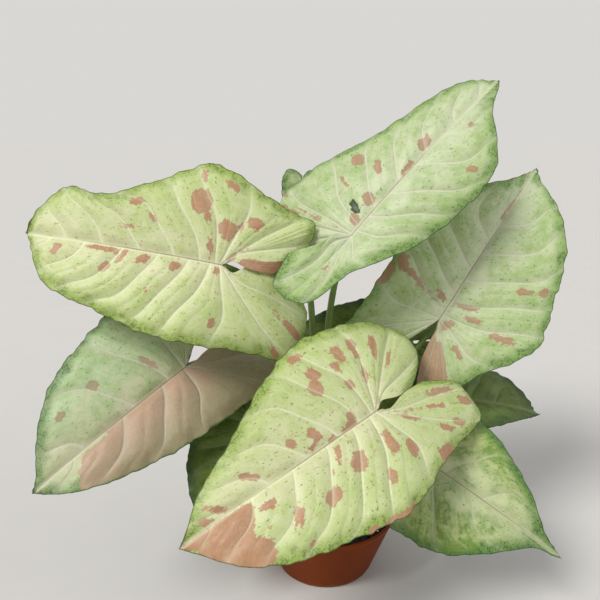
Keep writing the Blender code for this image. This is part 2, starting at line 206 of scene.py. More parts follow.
LEAVES = {
    "leaf_upper_left": Leaf(
        crown="stem_left", at=mm(-51, -24, 175), heading=-168, pitch=14, roll=-71, length=0.090,
        left=Side(mm(39, 38, 36, 29.5, 22, 9), lobe=mm(49, 0.6, 20, 39), sinus=0.0029, lap=0.0036, patches=(
            (8.35, 8.72, 0.04, 0.13), (9.3, 9.45, 0.25, 0.48), (8.05, 8.18, 0.06, 0.26),
            (7.6, 7.8, 0.08, 0.2), (6.93, 7.12, 0.1, 0.2), (8.2, 8.36, 0.28, 0.46),
            (5.2, 5.9, 0.05, 0.13), (7.24, 7.34, 0.48, 0.54), (5.5, 5.64, 0.66, 0.76),
            (2.55, 2.8, 0.66, 0.96), (3.95, 4.15, 0.86, 0.97))),
        right=Side(mm(37, 46, 34, 22, 24, 13), lobe=mm(43, 0.6, 24, 33), phase=0.3, lobe_droop=16,
                   sinus=0.0028, patches=(
            (6.02, 6.5, 0.5, 0.74), (6.05, 6.2, 0.42, 0.47), (6.02, 6.22, 0.12, 0.24),
            (6.1, 6.2, 0.82, 0.92), (5.4, 5.65, 0.8, 0.88), (5.15, 5.8, 0.28, 0.47),
            (4.95, 5.2, 0.46, 0.55), (4.45, 4.95, 0.54, 0.68), (2.4, 4.2, 0.14, 0.28),
            (7.33, 7.43, 0.48, 0.58), (7.42, 7.62, 0.76, 0.84), (7.85, 7.95, 0.4, 0.46)),
            zones=((-0.9, 0.8, 0.3, 1.2),)),
        finish="lime_leaf", arch=28, reflex=28, rise=0.10, reach=0.035),
    "leaf_upper_right": Leaf(
        crown="stem_centre", at=mm(11, -7, 186), heading=17, pitch=47, roll=52, length=0.114,
        left=Side(mm(63, 50, 33.5, 24, 15.5, 9), lobe=mm(35, 14, 34, 56), fold=0, droop=60, lobe_droop=52,
                  sinus=0.0004, tear=(6.24, 6.46, 0.07, 0.27), patches=(
            (6.75, 6.98, 0.62, 0.78), (7.12, 7.28, 0.34, 0.5), (6.6, 6.85, 0.06, 0.24),
            (5.95, 6.3, 0.03, 0.13), (8.1, 8.35, 0.08, 0.3), (7.65, 7.85, 0.02, 0.1),
            (6.42, 6.5, 0.45, 0.6), (4.3, 4.7, 0.5, 0.8), (5.0, 5.35, 0.86, 1.1), (4.9, 5.05, 0.38, 0.52))),
        right=Side(mm(14, 28, 33, 30, 11, 4), lobe=mm(48, -16, -6, 11), fold=24, droop=48,
                   phase=0.4, lobe_droop=-38, sinus=-0.004, patches=(
            (8.7, 8.8, 0.45, 0.6), (7.8, 7.92, 0.68, 0.8), (2.9, 3.3, 0.42, 0.5))),
        finish="mint_leaf", arch=20, rise=0.08),
    "leaf_right": Leaf(
        crown="stem_right", at=mm(60, 11, 138), heading=20, pitch=55, roll=55, length=0.102,
        left=Side(mm(40, 38, 41, 31, 10, 3), lobe=mm(46, 13, 28, 42), sinus=0.0, patches=(
            (8.85, 9.4, 0.01, 0.15), (6.05, 6.2, 0.35, 0.7), (6.0, 6.35, 0.74, 0.9),
            (5.5, 6.0, 0.88, 1.1), (6.3, 6.5, 0.05, 0.2))),
        right=Side(mm(33, 49, 46, 37, 22, 6), lobe=mm(42, 4, 16, 27), phase=0.2, patches=(
            (6.38, 6.52, 0.1, 0.28), (6.08, 6.2, 0.22, 0.34), (5.8, 6.0, 0.54, 0.76),
            (7.1, 7.2, 0.6, 0.74), (7.1, 7.3, 0.82, 0.9), (4.7, 5.6, 0.08, 0.18),
            (4.75, 4.9, 0.5, 0.68)), zones=((-1.0, 4.05, 0.25, 1.2),)),
        finish="mint_leaf", arch=20),
    "leaf_front": Leaf(
        crown="stem_centre", at=mm(20, -50, 113), heading=-134, pitch=-7, roll=-45, length=0.102,
        left=Side(mm(36, 41, 38, 32, 20, 6.5), lobe=mm(66, 0.5, 17, 33), lobe_droop=14,
                  sinus=0.0025, patches=(
            (5.75, 6.05, 0.26, 0.46), (5.3, 5.6, 0.48, 0.66), (6.75, 7.1, 0.24, 0.44),
            (7.3, 7.42, 0.12, 0.24), (7.46, 7.74, 0.46, 0.62), (7.12, 7.16, 0.34, 0.39),
            (7.5, 7.54, 0.31, 0.35), (6.2, 6.35, 0.56, 0.68), (8.15, 8.3, 0.42, 0.68),
            (4.2, 4.55, 0.27, 0.42), (1.2, 1.9, 0.56, 0.82), (2.35, 2.8, 0.78, 0.92),
            (2.7, 2.95, 0.4, 0.6), (4.25, 4.5, 0.66, 0.8), (3.85, 4.1, 0.74, 0.85),
            (4.75, 5.1, 0.84, 1.1), (5.9, 6.7, 0.95, 1.1), (6.8, 7.0, 0.96, 1.1),
            (8.6, 10.0, 0.6, 1.15), (7.95, 8.05, 0.84, 0.92), (8.6, 8.8, 0.2, 0.3)),
            zones=((8.95, 11.5, 0.02, 0.8),)),
        right=Side(mm(41, 46, 37, 24, 14, 3.5), lobe=mm(53, 0, 16, 35), phase=0.5, lobe_droop=18,
                   sinus=0.0027, patches=(
            (6.5, 6.8, 0.47, 0.62), (6.3, 6.55, 0.6, 0.72), (6.2, 6.5, 0.85, 0.93),
            (5.05, 5.25, 0.58, 0.78), (4.4, 4.65, 0.55, 0.8), (5.5, 5.7, 0.6, 0.76),
            (5.0, 5.2, 0.33, 0.5), (5.8, 5.95, 0.52, 0.62), (5.75, 6.0, 0.32, 0.4),
            (6.5, 6.75, 0.07, 0.16), (6.6, 7.05, -0.1, 0.06), (7.2, 7.45, -0.1, 0.05),
            (7.42, 7.58, 0.1, 0.3), (7.6, 7.75, 0.06, 0.16), (7.78, 7.9, 0.28, 0.38),
            (8.55, 8.68, 0.3, 0.55), (9.3, 9.42, 0.1, 0.6), (9.6, 9.75, 0.2, 0.6),
            (3.3, 3.6, 0.5, 0.62))),
        finish="lime_leaf", arch=30),
    "leaf_lower_left": Leaf(
        crown="stem_left", at=mm(-70, -20, 123), heading=-133, pitch=-20, roll=-45, length=0.087,
        left=Side(mm(34, 31, 28, 22, 13, 5), lobe=mm(46, 0, 20, 34), zones=(
            (-2.0, 8.35, -0.3, 0.97), (6.4, 9.0, 0.15, 0.97))),
        right=Side(mm(43, 45, 40.5, 31, 17, 4), lobe=mm(38, 16, 27, 37), phase=0.3, sinus=0.0, patches=(
            (5.7, 6.05, 0.62, 0.8), (6.45, 6.6, 0.22, 0.42), (7.6, 7.78, 0.5, 0.62),
            (8.4, 8.55, 0.66, 0.76))),
        finish="mint_and_pink_leaf", arch=25, reflex=20, veins=FEW_VEINS),
    "leaf_lower_right": Leaf(
        crown="stem_right", at=mm(47, -22, 75), heading=-34, pitch=-20, roll=45, length=0.080,
        left=Side(mm(29, 32, 29, 19, 5, 2), lobe=mm(23, 3, 14, 23)),
        right=Side(mm(34, 37, 34, 19.5, 4.5, 1.5), lobe=mm(28, 3, 15, 26), phase=0.4),
        finish="green_leaf", arch=25, rise=0.03, reach=0.02, veins=FEW_VEINS),
    "leaf_small_right": Leaf(
        crown="stem_right", at=mm(71, 16, 90), heading=6, pitch=-6, roll=40, length=0.059,
        left=Side(mm(22, 24, 24, 20, 7, 2), lobe=mm(18, 3, 12, 20)),
        right=Side(mm(19, 18, 15, 10, 5, 2), lobe=mm(18, 3, 12, 20), phase=0.4),
        finish="dark_green_leaf", arch=25, veins=FEW_VEINS),
    "leaf_low_left": Leaf(
        crown="stem_left", at=mm(-34, -20, 91), heading=-118, pitch=-48, roll=-30, length=0.066,
        left=Side(mm(26, 27, 25, 18, 9, 3), lobe=mm(22, 3, 13, 23)),
        right=Side(mm(28, 31, 29, 21, 11, 4), lobe=mm(22, 3, 13, 23), phase=0.4),
        finish="dark_green_leaf", arch=20, veins=FEW_VEINS),
    "leaf_inner": Leaf(
        crown="stem_centre", at=mm(50, 40, 115), heading=-172, pitch=-4, roll=-66, length=0.088,
        left=Side(mm(43, 45, 38, 26, 12, 4), lobe=mm(34, 1, 17, 34)),
        right=Side(mm(28, 30, 28, 21, 11, 4), lobe=mm(30, 1, 14, 24), phase=0.4),
        finish="dark_green_leaf", arch=20, rise=0.03, reach=0.02, veins=FEW_VEINS),
    "leaf_small_back": Leaf(
        crown="stem_centre", at=mm(-12, 55, 205), heading=-80, pitch=-62, roll=0, length=0.044,
        left=Side(mm(14, 15, 14, 10, 5, 2), lobe=mm(9, 0.3, 6, 12), lobe_droop=8, sinus=0.0005),
        right=Side(mm(12, 13, 12.5, 9, 4.5, 2), lobe=mm(9.5, 0.3, 6, 10.5), phase=0.4, lobe_droop=8,
                   sinus=0.0005),
        finish="green_leaf", arch=15, wave=0.0008, rise=0.10, veins=FEW_VEINS),
}

CROWNS = {
    "stem_left": mm(-15, 3),
    "stem_centre": mm(-3, 13),
    "stem_right": mm(13, -1),
}

# Crowns: how far they go into the soil and above it, their bend, taper and node rings
CROWN_DEPTH = 0.010
CROWN_HEIGHT = 0.0145
CROWN_BEND = 0.0005
CROWN_BEND_RATE = 300
CROWN_RADIUS = 0.0049
CROWN_TAPER = 0.0014
RING_HEIGHT = 0.00035
RING_COUNT = 5.2
RING_PART = 0.12
CROWN_END = 0.0035

# Stalks: the ends of their paths, their taper, the sheath at the foot, the pad by the blade, and the channel
STALK_LEAN = 0.0022
STALK_FOOT = 0.004
KEEL_DROP = 0.0011
STALK_SHORT = 0.0004
STALK_RADIUS = 0.0021
STALK_TAPER = 0.00065
STALK_END = 0.0012
SHEATH_FLARE = 0.0011
SHEATH_PART = 0.09
PAD_FLARE = 0.0004
PAD_RANGE = (0.95, 1.0)
STALK_UNEVEN = 0.00003
STALK_UNEVEN_RATE = 70
CHANNEL_DEPTH = 0.16
CHANNEL_WIDTH = 0.25
CHANNEL_OPENS = (0.02, 0.12)
CHANNEL_CLOSES = (0.8, 0.97)

# Pot and soil, as in the solids
POT_HEIGHT = 0.034
POT_RIM_RADIUS = 0.039
POT_FOOT_RADIUS = 0.026
POT_WALL = 0.0014
POT_FLOOR = 0.0016
DRAIN_COUNT = 4
DRAIN_RADIUS = 0.003
DRAIN_RING_RADIUS = 0.017
SOIL_TOP = 0.0324
SOIL_EDGE = 0.0312
SOIL_GAP = 0.0004

# Finer form of the pot and the soil
LIP_RADIUS = 0.00085
LIP_INSET = 0.00080
FOOT_BEND = 0.0014
FOOT_INSET = 0.0012
FLOOR_RADIUS = 0.0250
UNDERSIDE = ((0.0215, 0.0), (0.0205, 0.0004), (0.0190, 0.0005), (0.004, 0.0005), (0.0, 0.0005))
DRILL_REACH = 0.004
SHARP_ANGLE = 50
SOIL_SINK = 0.0004
SOIL_FALL_RADIUS = 0.0365
SOIL_ROUGHNESS = 0.0006
SOIL_WAVES = 260.0
SOIL_WAVE_COUNT = 14
SOIL_SEED = 4
SCATTER_RADIUS = 0.0362
CROWN_CLEARANCE = 0.0055

# Light and camera. The camera stands where the photo's did.
KEY_FROM = (-1.3, -1.3, 1.9)
FILL_FROM = (1.9, -0.8, 1.0)
FLOOR_SHEEN = 1.032
CAMERA_PLACE = (-0.014, -0.315, 0.236)
CAMERA_TILT = 75
CAMERA_LENS = 38.4
CAMERA_SENSOR = 36.0


def colour_setting(name, description, colour):
    """A property that holds a colour."""
    return FloatVectorProperty(name=name, description=description, subtype="COLOR", size=4, default=colour)


class LeafSettings(PropertyGroup):
    """Sizes and colours of the leaves."""

    thickness: FloatProperty(
        name="Thickness", description="Thickness of a blade between its veins",
        default=0.00045, min=0.0002, max=0.001, unit="LENGTH")
    quilt: FloatProperty(
        name="Quilting", description="How far a blade puffs up between two veins, in parts of their distance",
        default=0.12, min=0.0, max=0.2)
    row_gap: FloatProperty(
        name="Row gap", description="Distance between the mesh rows at the margin",
        default=0.0007, min=0.0004, max=0.01, unit="LENGTH")
    columns: IntProperty(
        name="Columns", description="Mesh columns from the midrib to the margin", default=36, min=8, max=80)
    vein_colour: colour_setting("Veins", "Colour of the veins on the lime leaves", screen(218, 220, 184))
    pink_colour: colour_setting("Pink", "Colour of the pink patches on the lime leaves", screen(167, 99, 80))


class PotSettings(PropertyGroup):
    """Sizes and colours of the pot, the soil and the stalks."""

    sides: IntProperty(name="Sides", description="Sides of the turned pot", default=160, min=16, max=256)
    crumbs: IntProperty(name="Crumbs", description="Number of soil crumbs", default=900, min=0, max=3000)
    beads: IntProperty(name="Grit", description="Number of pale grit beads", default=70, min=0, max=300)
    plastic_colour: colour_setting("Plastic", "Colour of the pot", screen(122, 52, 3))
    soil_colour: colour_setting("Soil", "Colour of the damp soil", screen(40, 28, 24))
    stalk_colour: colour_setting("Stalks", "Colour of the stalks", screen(86, 112, 44))


class StageSettings(PropertyGroup):
    """Light and floor."""

    key_strength: FloatProperty(name="Key light", description="Strength of the main sun", default=2.5, min=0)
    fill_strength: FloatProperty(
        name="Fill light", description="Strength of the second sun", default=0.5, min=0)
    sky_strength: FloatProperty(
        name="Sky", description="Strength of the light from all sides", default=0.55, min=0)
    floor_colour: colour_setting("Floor", "Colour of the floor", screen(198, 196, 193))


class Number:
    """A number that varies over a surface. Arithmetic on it adds Math nodes."""

    def __init__(self, paint, socket):
        self.paint = paint
        self.socket = socket

    def math(self, operation, *others, clamp=False):
        sockets = dict(enumerate(others))
        node = self.paint.node("ShaderNodeMath", sockets, operation=operation, use_clamp=clamp)
        return Number(self.paint, node.outputs[0])

    def __add__(self, other):
        return self.math("ADD", self, other)

    def __radd__(self, other):
        return self.math("ADD", other, self)

    def __sub__(self, other):
        return self.math("SUBTRACT", self, other)

    def __rsub__(self, other):
        return self.math("SUBTRACT", other, self)

    def __mul__(self, other):
        return self.math("MULTIPLY", self, other)

    def __truediv__(self, other):
        return self.math("DIVIDE", self, other)

    def clamped(self):
        return self.math("ADD", self, 0.0, clamp=True)

    def absolute(self):
        return self.math("ABSOLUTE", self)

    def fade(self, low, high):
        """0 at low and 1 at high, smoothly. low may be the larger."""
        start, end = (0.0, 1.0) if low < high else (1.0, 0.0)
        low, high = min(low, high), max(low, high)
        sockets = {"Value": self, "From Min": low, "From Max": high, "To Min": start, "To Max": end}
        node = self.paint.node("ShaderNodeMapRange", sockets, interpolation_type="SMOOTHSTEP")
        return Number(self.paint, node.outputs["Result"])


class Paint:
    """A material in the making."""

    def __init__(self, name):
        self.material = bpy.data.materials.new(name)
        self.material.use_nodes = True
        self.tree = self.material.node_tree
        self.shader = self.tree.nodes["Principled BSDF"]

    def node(self, kind, sockets=None, **settings):
        """A node of the kind, with its settings set first and then its sockets' values or links."""
        node = self.tree.nodes.new(kind)
        for setting, value in settings.items():
            setattr(node, setting, value)
        for key, value in (sockets or {}).items():
            self.feed(node.inputs[key], value)
        return node

    def feed(self, socket, value):
        """Links a varying value to a socket, or sets a constant on it."""
        if isinstance(value, Number):
            value = value.socket
        if isinstance(value, bpy.types.NodeSocket):
            self.tree.links.new(value, socket)
        else:
            socket.default_value = value

    def places(self):
        """Object coordinates."""
        return self.node("ShaderNodeTexCoord").outputs["Object"]

    def chart(self, name):
        """A UV map's coordinates."""
        return self.node("ShaderNodeUVMap", uv_map=name).outputs["UV"]

    def spread(self, name):
        """A number stored on the mesh."""
        node = self.node("ShaderNodeAttribute", attribute_type="GEOMETRY", attribute_name=name)
        return Number(self, node.outputs["Fac"])

    def scaled(self, vector, sizes, shift=(0.0, 0.0, 0.0)):
        """The vector with each part multiplied, then shifted."""
        sockets = {0: vector, 1: sizes, 2: shift}
        return self.node("ShaderNodeVectorMath", sockets, operation="MULTIPLY_ADD").outputs["Vector"]

    def part(self, vector, axis):
        """The X, Y or Z part of a vector."""
        return Number(self, self.node("ShaderNodeSeparateXYZ", {0: vector}).outputs[axis])

    def warped(self, vector, scale, amount):
        """The vector moved by a coloured noise, by up to the amount each way."""
        noise = self.node("ShaderNodeTexNoise", {"Vector": vector, "Scale": scale})
        return self.scaled(noise.outputs["Color"], (amount, amount, amount), vector)

    def noise(self, vector, scale, detail=3.0, roughness=0.55):
        """Noise about 0, mostly between -0.3 and 0.3."""
        sockets = {"Vector": vector, "Scale": scale, "Detail": detail, "Roughness": roughness}
        return Number(self, self.node("ShaderNodeTexNoise", sockets).outputs["Fac"]) - 0.5

    def cells(self, vector, scale, feature="DISTANCE_TO_EDGE"):
        """Distance to the nearest edge, or point, of a pattern of cells."""
        node = self.node("ShaderNodeTexVoronoi", {"Vector": vector, "Scale": scale}, feature=feature)
        return Number(self, node.outputs["Distance"])

    def mix(self, factor, first, second):
        """A colour between two. The Mix node's colour sockets are its inputs 6 and 7 and its output 2."""
        sockets = {"Factor": factor, 6: first, 7: second}
        return self.node("ShaderNodeMix", sockets, data_type="RGBA").outputs[2]

    def bump(self, height, distance):
        """A normal bent by a height, in parts of the distance."""
        sockets = {"Height": height, "Distance": distance, "Strength": 1.0}
        return self.node("ShaderNodeBump", sockets).outputs["Normal"]

    def finish(self, colour, roughness, normal=None, **constants):
        """Feeds the shader. The constants are sockets by name, with _ for a space."""
        self.feed(self.shader.inputs["Base Color"], colour)
        self.feed(self.shader.inputs["Roughness"], roughness)
        if normal is not None:
            self.feed(self.shader.inputs["Normal"], normal)
        for name, value in constants.items():
            self.shader.inputs[name.replace("_", " ")].default_value = value
        return self.material


# Widths of a leaf's painted parts, in metres
BLUSH_WIDTH = 0.022
FLUSH_WIDTH = 0.026
BAND_WIDTH = 0.0065
SPECKLE_WIDTH = 0.0085
RIM_WIDTH = 0.0006
MIDRIB_WIDTH = 0.0016
VEIN_WIDTH = 0.0009
MINOR_WIDTH = 0.0006
HALO_WIDTH = 0.0042
CREASE_WIDTH = 0.00045
CREASE_ENDS = (0.075, 0.035)

PATCH_EDGE = screen(140, 84, 62)
CREASE_COLOUR = screen(128, 96, 66)
# Painted shade: the dark green that shows in the tear's slit
TEAR_SHADE_COLOUR = screen(38, 62, 30)

# How light scatters inside leaf and stalk
LIVING_SKIN = {"Subsurface_Radius": (0.4, 0.6, 0.2), "Subsurface_Scale": 0.002}


@dataclass(frozen=True)
class Finish:
    """Colours of one kind of leaf.

    light, deep: the blade's two tones. band, speckle: the margin's band, and the specks in it. vein: the
    veins. fleck: small dark marks. rim: the margin's very edge. under: the underside. pink: the patches.
    blush: the tint by the midrib. centre: how much of the tint there is.
    mottle: how far the two tones part. halo: how far the veins' paleness spreads.
    flecks: how many dark marks there are. freckles: how many small pink ones.
    flush: how far the pink takes the blush by the midrib.
    """

    light: tuple
    deep: tuple
    band: tuple
    speckle: tuple
    vein: tuple
    fleck: tuple
    rim: tuple
    under: tuple
    pink: tuple
    blush: tuple
    centre: float = 0.5
    mottle: float = 0.5
    halo: float = 0.5
    flecks: float = 0.5
    freckles: float = 0.0
    flush: float = 0.0


def finishes(settings):
    """The kinds of leaf, by material slot."""
    vein = tuple(settings.vein_colour)
    pink = tuple(settings.pink_colour)
    return {
        "lime_leaf": Finish(
            light=screen(193, 201, 150), deep=screen(169, 186, 111), band=screen(140, 163, 71),
            speckle=screen(79, 105, 39), vein=vein, fleck=screen(97, 110, 56), rim=screen(62, 73, 32),
            under=screen(165, 178, 129), pink=pink, blush=screen(207, 205, 168), centre=0.6, mottle=0.7,
            halo=0.6, flecks=0.75, freckles=0.8),
        "mint_leaf": Finish(
            light=screen(181, 192, 149), deep=screen(146, 172, 104), band=screen(116, 150, 70),
            speckle=screen(58, 92, 43), vein=screen(200, 202, 176), fleck=screen(79, 105, 58),
            rim=screen(45, 65, 30), under=screen(148, 166, 125), pink=screen(160, 108, 86),
            blush=screen(192, 200, 166), centre=0.75, mottle=0.9, halo=0.7, flecks=0.75, freckles=0.4),
        "mint_and_pink_leaf": Finish(
            light=screen(184, 196, 158), deep=screen(148, 172, 117), band=screen(98, 130, 70),
            speckle=screen(47, 79, 41), vein=screen(193, 191, 168), fleck=screen(77, 99, 64),
            rim=screen(39, 56, 32), under=screen(137, 151, 118), pink=screen(142, 119, 91),
            blush=screen(190, 145, 127), centre=0.25, mottle=0.8, halo=0.6, flecks=0.6, freckles=0.2,
            flush=0.6),
        "green_leaf": Finish(
            light=screen(163, 175, 111), deep=screen(107, 136, 56), band=screen(77, 117, 42),
            speckle=screen(39, 77, 32), vein=screen(178, 185, 146), fleck=screen(65, 94, 43),
            rim=screen(34, 56, 24), under=screen(120, 144, 95), pink=pink, blush=screen(183, 189, 150),
            centre=0.75, mottle=1.5, halo=0.5, flecks=0.9),
        "dark_green_leaf": Finish(
            light=screen(101, 117, 37), deep=screen(65, 87, 15), band=screen(52, 79, 26),
            speckle=screen(28, 50, 17), vein=screen(116, 135, 80), fleck=screen(37, 58, 21),
            rim=screen(28, 41, 15), under=screen(86, 108, 62), pink=pink, blush=screen(103, 123, 67),
            centre=0.3, mottle=1.0, halo=0.3, flecks=0.5),
    }


class LeafPaint(Paint):
    """A blade's material. It reads two UV maps and the numbers that are stored on the mesh.

    flat: metres along and across the flat blade. fan: the vein number, and the part of the way across.
    gap: the distance between two veins. rib, edge: the distances to the midrib and to the margin.
    """

    def __init__(self, name, kind):
        super().__init__(name)
        self.kind = kind
        self.flat = self.chart("flat")
        self.fan = self.chart("fan")
        self.gap = self.spread("gap")
        self.rib = self.spread("rib")
        self.edge = self.spread("edge")
        self.broad = self.noise(self.flat, 70.0, 4.0)
        self.patchy = self.noise(self.scaled(self.flat, (1.0, 1.0, 1.0), (3.0, 7.0, 0.0)), 170.0, 4.0, 0.6)
        self.fine = self.noise(self.flat, 480.0, 4.0, 0.65)
        self.streaks = self.noise(self.scaled(self.fan, (5.0, 2.5, 1.0)), 2.4, 5.0, 0.65)

    def blade(self):
        """The two tones in soft patches, with the tint by the midrib."""
        tone = (self.broad * 0.8 + self.patchy + self.streaks * 0.7) * self.kind.mottle * 2.6 + 0.5
        colour = self.mix(tone.clamped(), self.kind.light, self.kind.deep)
        pale = (self.rib / BLUSH_WIDTH + self.broad * 1.2 + self.patchy).fade(1.0, 0.0) * self.kind.centre
        return self.mix(pale, colour, self.kind.blush)

    def banded(self, colour):
        """The colour with the margin's band, ragged inside, and specks that crowd towards the margin."""
        ragged = self.edge + self.broad * 0.012 + self.patchy * 0.010 + self.fine * 0.003
        colour = self.mix(ragged.fade(BAND_WIDTH, 0.0012) * 0.85, colour, self.kind.band)
        crowd = ragged.fade(SPECKLE_WIDTH, 0.0)
        dots = (self.fine + self.noise(self.flat, 1300.0, 2.0, 0.7) + crowd * 0.16).fade(0.13, 0.26)
        return self.mix(dots * crowd * 0.8, colour, self.kind.speckle)

    def pink_masks(self):
        """Where the blade is pink, in ragged patches and small freckles, and where a patch's edge darkens."""
        pink = self.spread("pink") + self.patchy * 0.0046 + self.fine * 0.0028
        pink = pink + self.streaks * 0.0028 + 0.0003
        freckles = self.noise(self.scaled(self.fan, (3.0, 8.0, 1.0), (5.0, 0.0, 0.0)), 1.7, 3.0, 0.55)
        freckles = (freckles + self.fine * 0.15).fade(0.14, 0.158) * self.rib.fade(0.04, 0.012)
        salmon = (pink.fade(-0.0002, 0.0003) * 0.9 + freckles * self.kind.freckles * 0.75).clamped()
        return salmon, pink.fade(0.0012, 0.0001) * salmon * 0.25

    def pinked(self, colour, salmon, edging):
        """The colour with its pink patches, streaked, and flushed by the midrib."""
        kind = self.kind
        lighter = self.mix(0.4, kind.pink, kind.light)
        shade = self.mix((self.streaks + self.fine + 0.4).clamped(), kind.pink, lighter)
        flush = (self.rib / FLUSH_WIDTH + self.broad * 0.8).fade(1.0, 0.0) * kind.flush
        shade = self.mix(flush, shade, kind.blush)
        return self.mix(salmon, colour, self.mix(edging, shade, PATCH_EDGE))

    def marked(self, colour, salmon):
        """The colour with its small dark marks, fewer in the pink."""
        spots = self.noise(self.scaled(self.fan, (5.0, 11.0, 1.0), (0.0, 3.0, 0.0)), 2.2, 3.0, 0.6)
        marks = (spots + self.fine * 0.2 + self.broad * 0.15).fade(0.12, 0.17) * self.kind.flecks
        return self.mix(marks * (1.0 - salmon * 0.6), colour, self.kind.fleck)

    def vein_masks(self):
        """How much there is of the veins, the minor veins between them, the halo beside them, and the net."""
        number = self.spread("number")
        part = number.math("FRACT", number)
        vein = (0.5 - (part - 0.5).absolute()) * self.gap
        minor = (part - 0.5 + self.broad * 0.25).absolute() * self.gap
        inner = self.edge.fade(0.002, 0.012)
        uneven = (self.patchy * 1.4 + 0.75).clamped()
        line = vein.fade(VEIN_WIDTH, 0.0002) * (inner * 0.55 + 0.08) * uneven
        second = minor.fade(MINOR_WIDTH, 0.0001) * inner * self.rib.fade(0.004, 0.014) * 0.25 * uneven
        halo = vein.fade(HALO_WIDTH, 0.0) * 0.34 * self.kind.halo
        net = self.cells(self.warped(self.flat, 300.0, 0.003), 230.0).fade(0.07, 0.0) * inner * 0.16
        return line, second, halo, net

    def creased(self, colour):
        """The colour with the brown crease that runs along the midrib from the stalk."""
        ahead = self.part(self.flat, "X") + self.patchy * 0.03
        crease = self.rib.fade(CREASE_WIDTH, 0.00015) * ahead.fade(*CREASE_ENDS) * 0.6
        return self.mix(crease, colour, CREASE_COLOUR)


def leaf_paint(name, kind):
    """The blade's material: two tones, a speckled band by the margin, pale veins and pink patches above, and
    a dull skin with the same veins beneath."""
    paint = LeafPaint(name, kind)
    under = paint.spread("under")
    salmon, edging = paint.pink_masks()
    line, second, halo, net = paint.vein_masks()
    midrib = paint.rib.fade(MIDRIB_WIDTH, 0.0006) * 0.6

    colour = paint.pinked(paint.banded(paint.blade()), salmon, edging)
    colour = paint.marked(colour, salmon)
    pale_vein = paint.mix(salmon * 0.75, kind.vein, paint.mix(0.4, kind.pink, kind.vein))
    colour = paint.mix((line + second + halo + net).clamped(), colour, pale_vein)
    colour = paint.creased(paint.mix(midrib, colour, pale_vein))
    rim = (paint.edge + paint.fine * 0.0006).fade(RIM_WIDTH, 0.0001) * 0.85
    colour = paint.mix(rim, colour, kind.rim)

    beneath = paint.mix((line * 0.6 + midrib * 0.5 + halo).clamped(), kind.under, kind.vein)
    beneath = paint.mix(salmon * 0.4, beneath, kind.pink)
    colour = paint.mix(under, colour, beneath)
    # The tear is painted dark green: painted shade in its slit
    tear = (paint.spread("tear") + paint.fine * 0.003 + paint.patchy * 0.006).fade(-0.0001, 0.0002)
    colour = paint.mix(tear * 0.92, colour, TEAR_SHADE_COLOUR)

    ridges = line * 0.9 + second * 0.8 + net * 0.8
    normal = paint.bump(paint.fine * 0.5 + paint.broad * 0.5 - ridges, 0.0003)
    roughness = 0.48 + paint.fine * 0.12 + under * 0.15
    return paint.finish(
        colour, roughness, normal, Specular_IOR_Level=0.4, Subsurface_Weight=0.1, **LIVING_SKIN)


def bell(distance, width):
    """exp(-(distance / width)^2): 1 at no distance, and falling off beyond the width."""
    return np.exp(-(distance / width) ** 2)


def smooth_curve(values, at):
    """Values read at the places of a Catmull-Rom curve through the rows of a table."""
    table = np.asarray(values, dtype=float)
    table = np.vstack([2 * table[0] - table[1], table, 2 * table[-1] - table[-2]])
    first = np.clip(np.floor(at).astype(int), 0, len(table) - 4)
    part = (at - first)[..., None]
    before, here, after, beyond = (table[first + step] for step in range(4))
    slope = after - before
    bow = 2 * before - 5 * here + 4 * after - beyond
    twist = 3 * (here - after) + beyond - before
    return here + 0.5 * part * (slope + part * (bow + part * twist))


def smoothstep(low, high, value):
    """0 at low, 1 at high, and 3q^2 - 2q^3 between them, with q the part of the way. low may be larger."""
    part = np.clip((value - low) / (high - low), 0, 1)
    return part * part * (3 - 2 * part)


def side_outline(leaf, side):
    """Points of one half's margin from the inner edge to the tip: along, across, and where their spoke
    leaves the midrib."""
    reach, inner, end, outer = side.lobe
    shoulder = end + LOBE_SHOULDER * (outer - end)
    edges = (inner, (inner + end) / 2, end, shoulder, outer, side.widths[0])
    points = [(-place * reach, edge, 0) for place, edge in zip(LOBE_PLACES, edges)]
    for station, width, start in zip(WIDTH_STATIONS, side.widths[1:], VEIN_STARTS):
        points.append((station * leaf.length, width, start * leaf.length))
    points.append((leaf.length, 0, leaf.length))
    return points


def margin_wave(leaf, side, spoke):
    """sin(2 pi (waves s + phase)) with s = spoke / last spoke, growing from nothing at s = 0."""
    along = spoke / LAST_SPOKE
    return np.clip(along / WAVES_FROM, 0, 1) * np.sin(2 * np.pi * (leaf.waves * along + side.phase))


def lapped(side, spoke, across):
    """How far a place near the lobe's inner edge is led past the notch: lap (1 - spoke / LAP_SPOKES)^2, from
    nothing at the stalk."""
    return side.lap * smoothstep(*LAP_RANGE, across) * np.clip(1 - spoke / LAP_SPOKES, 0, 1) ** 2


def unevenness(side, spoke):
    """The sum of UNEVEN_SINES: height sin(rate spoke + turn phase + shift) of each."""
    return sum(
        height * np.sin(rate * spoke + (turn * side.phase + shift))
        for height, rate, turn, shift in UNEVEN_SINES)


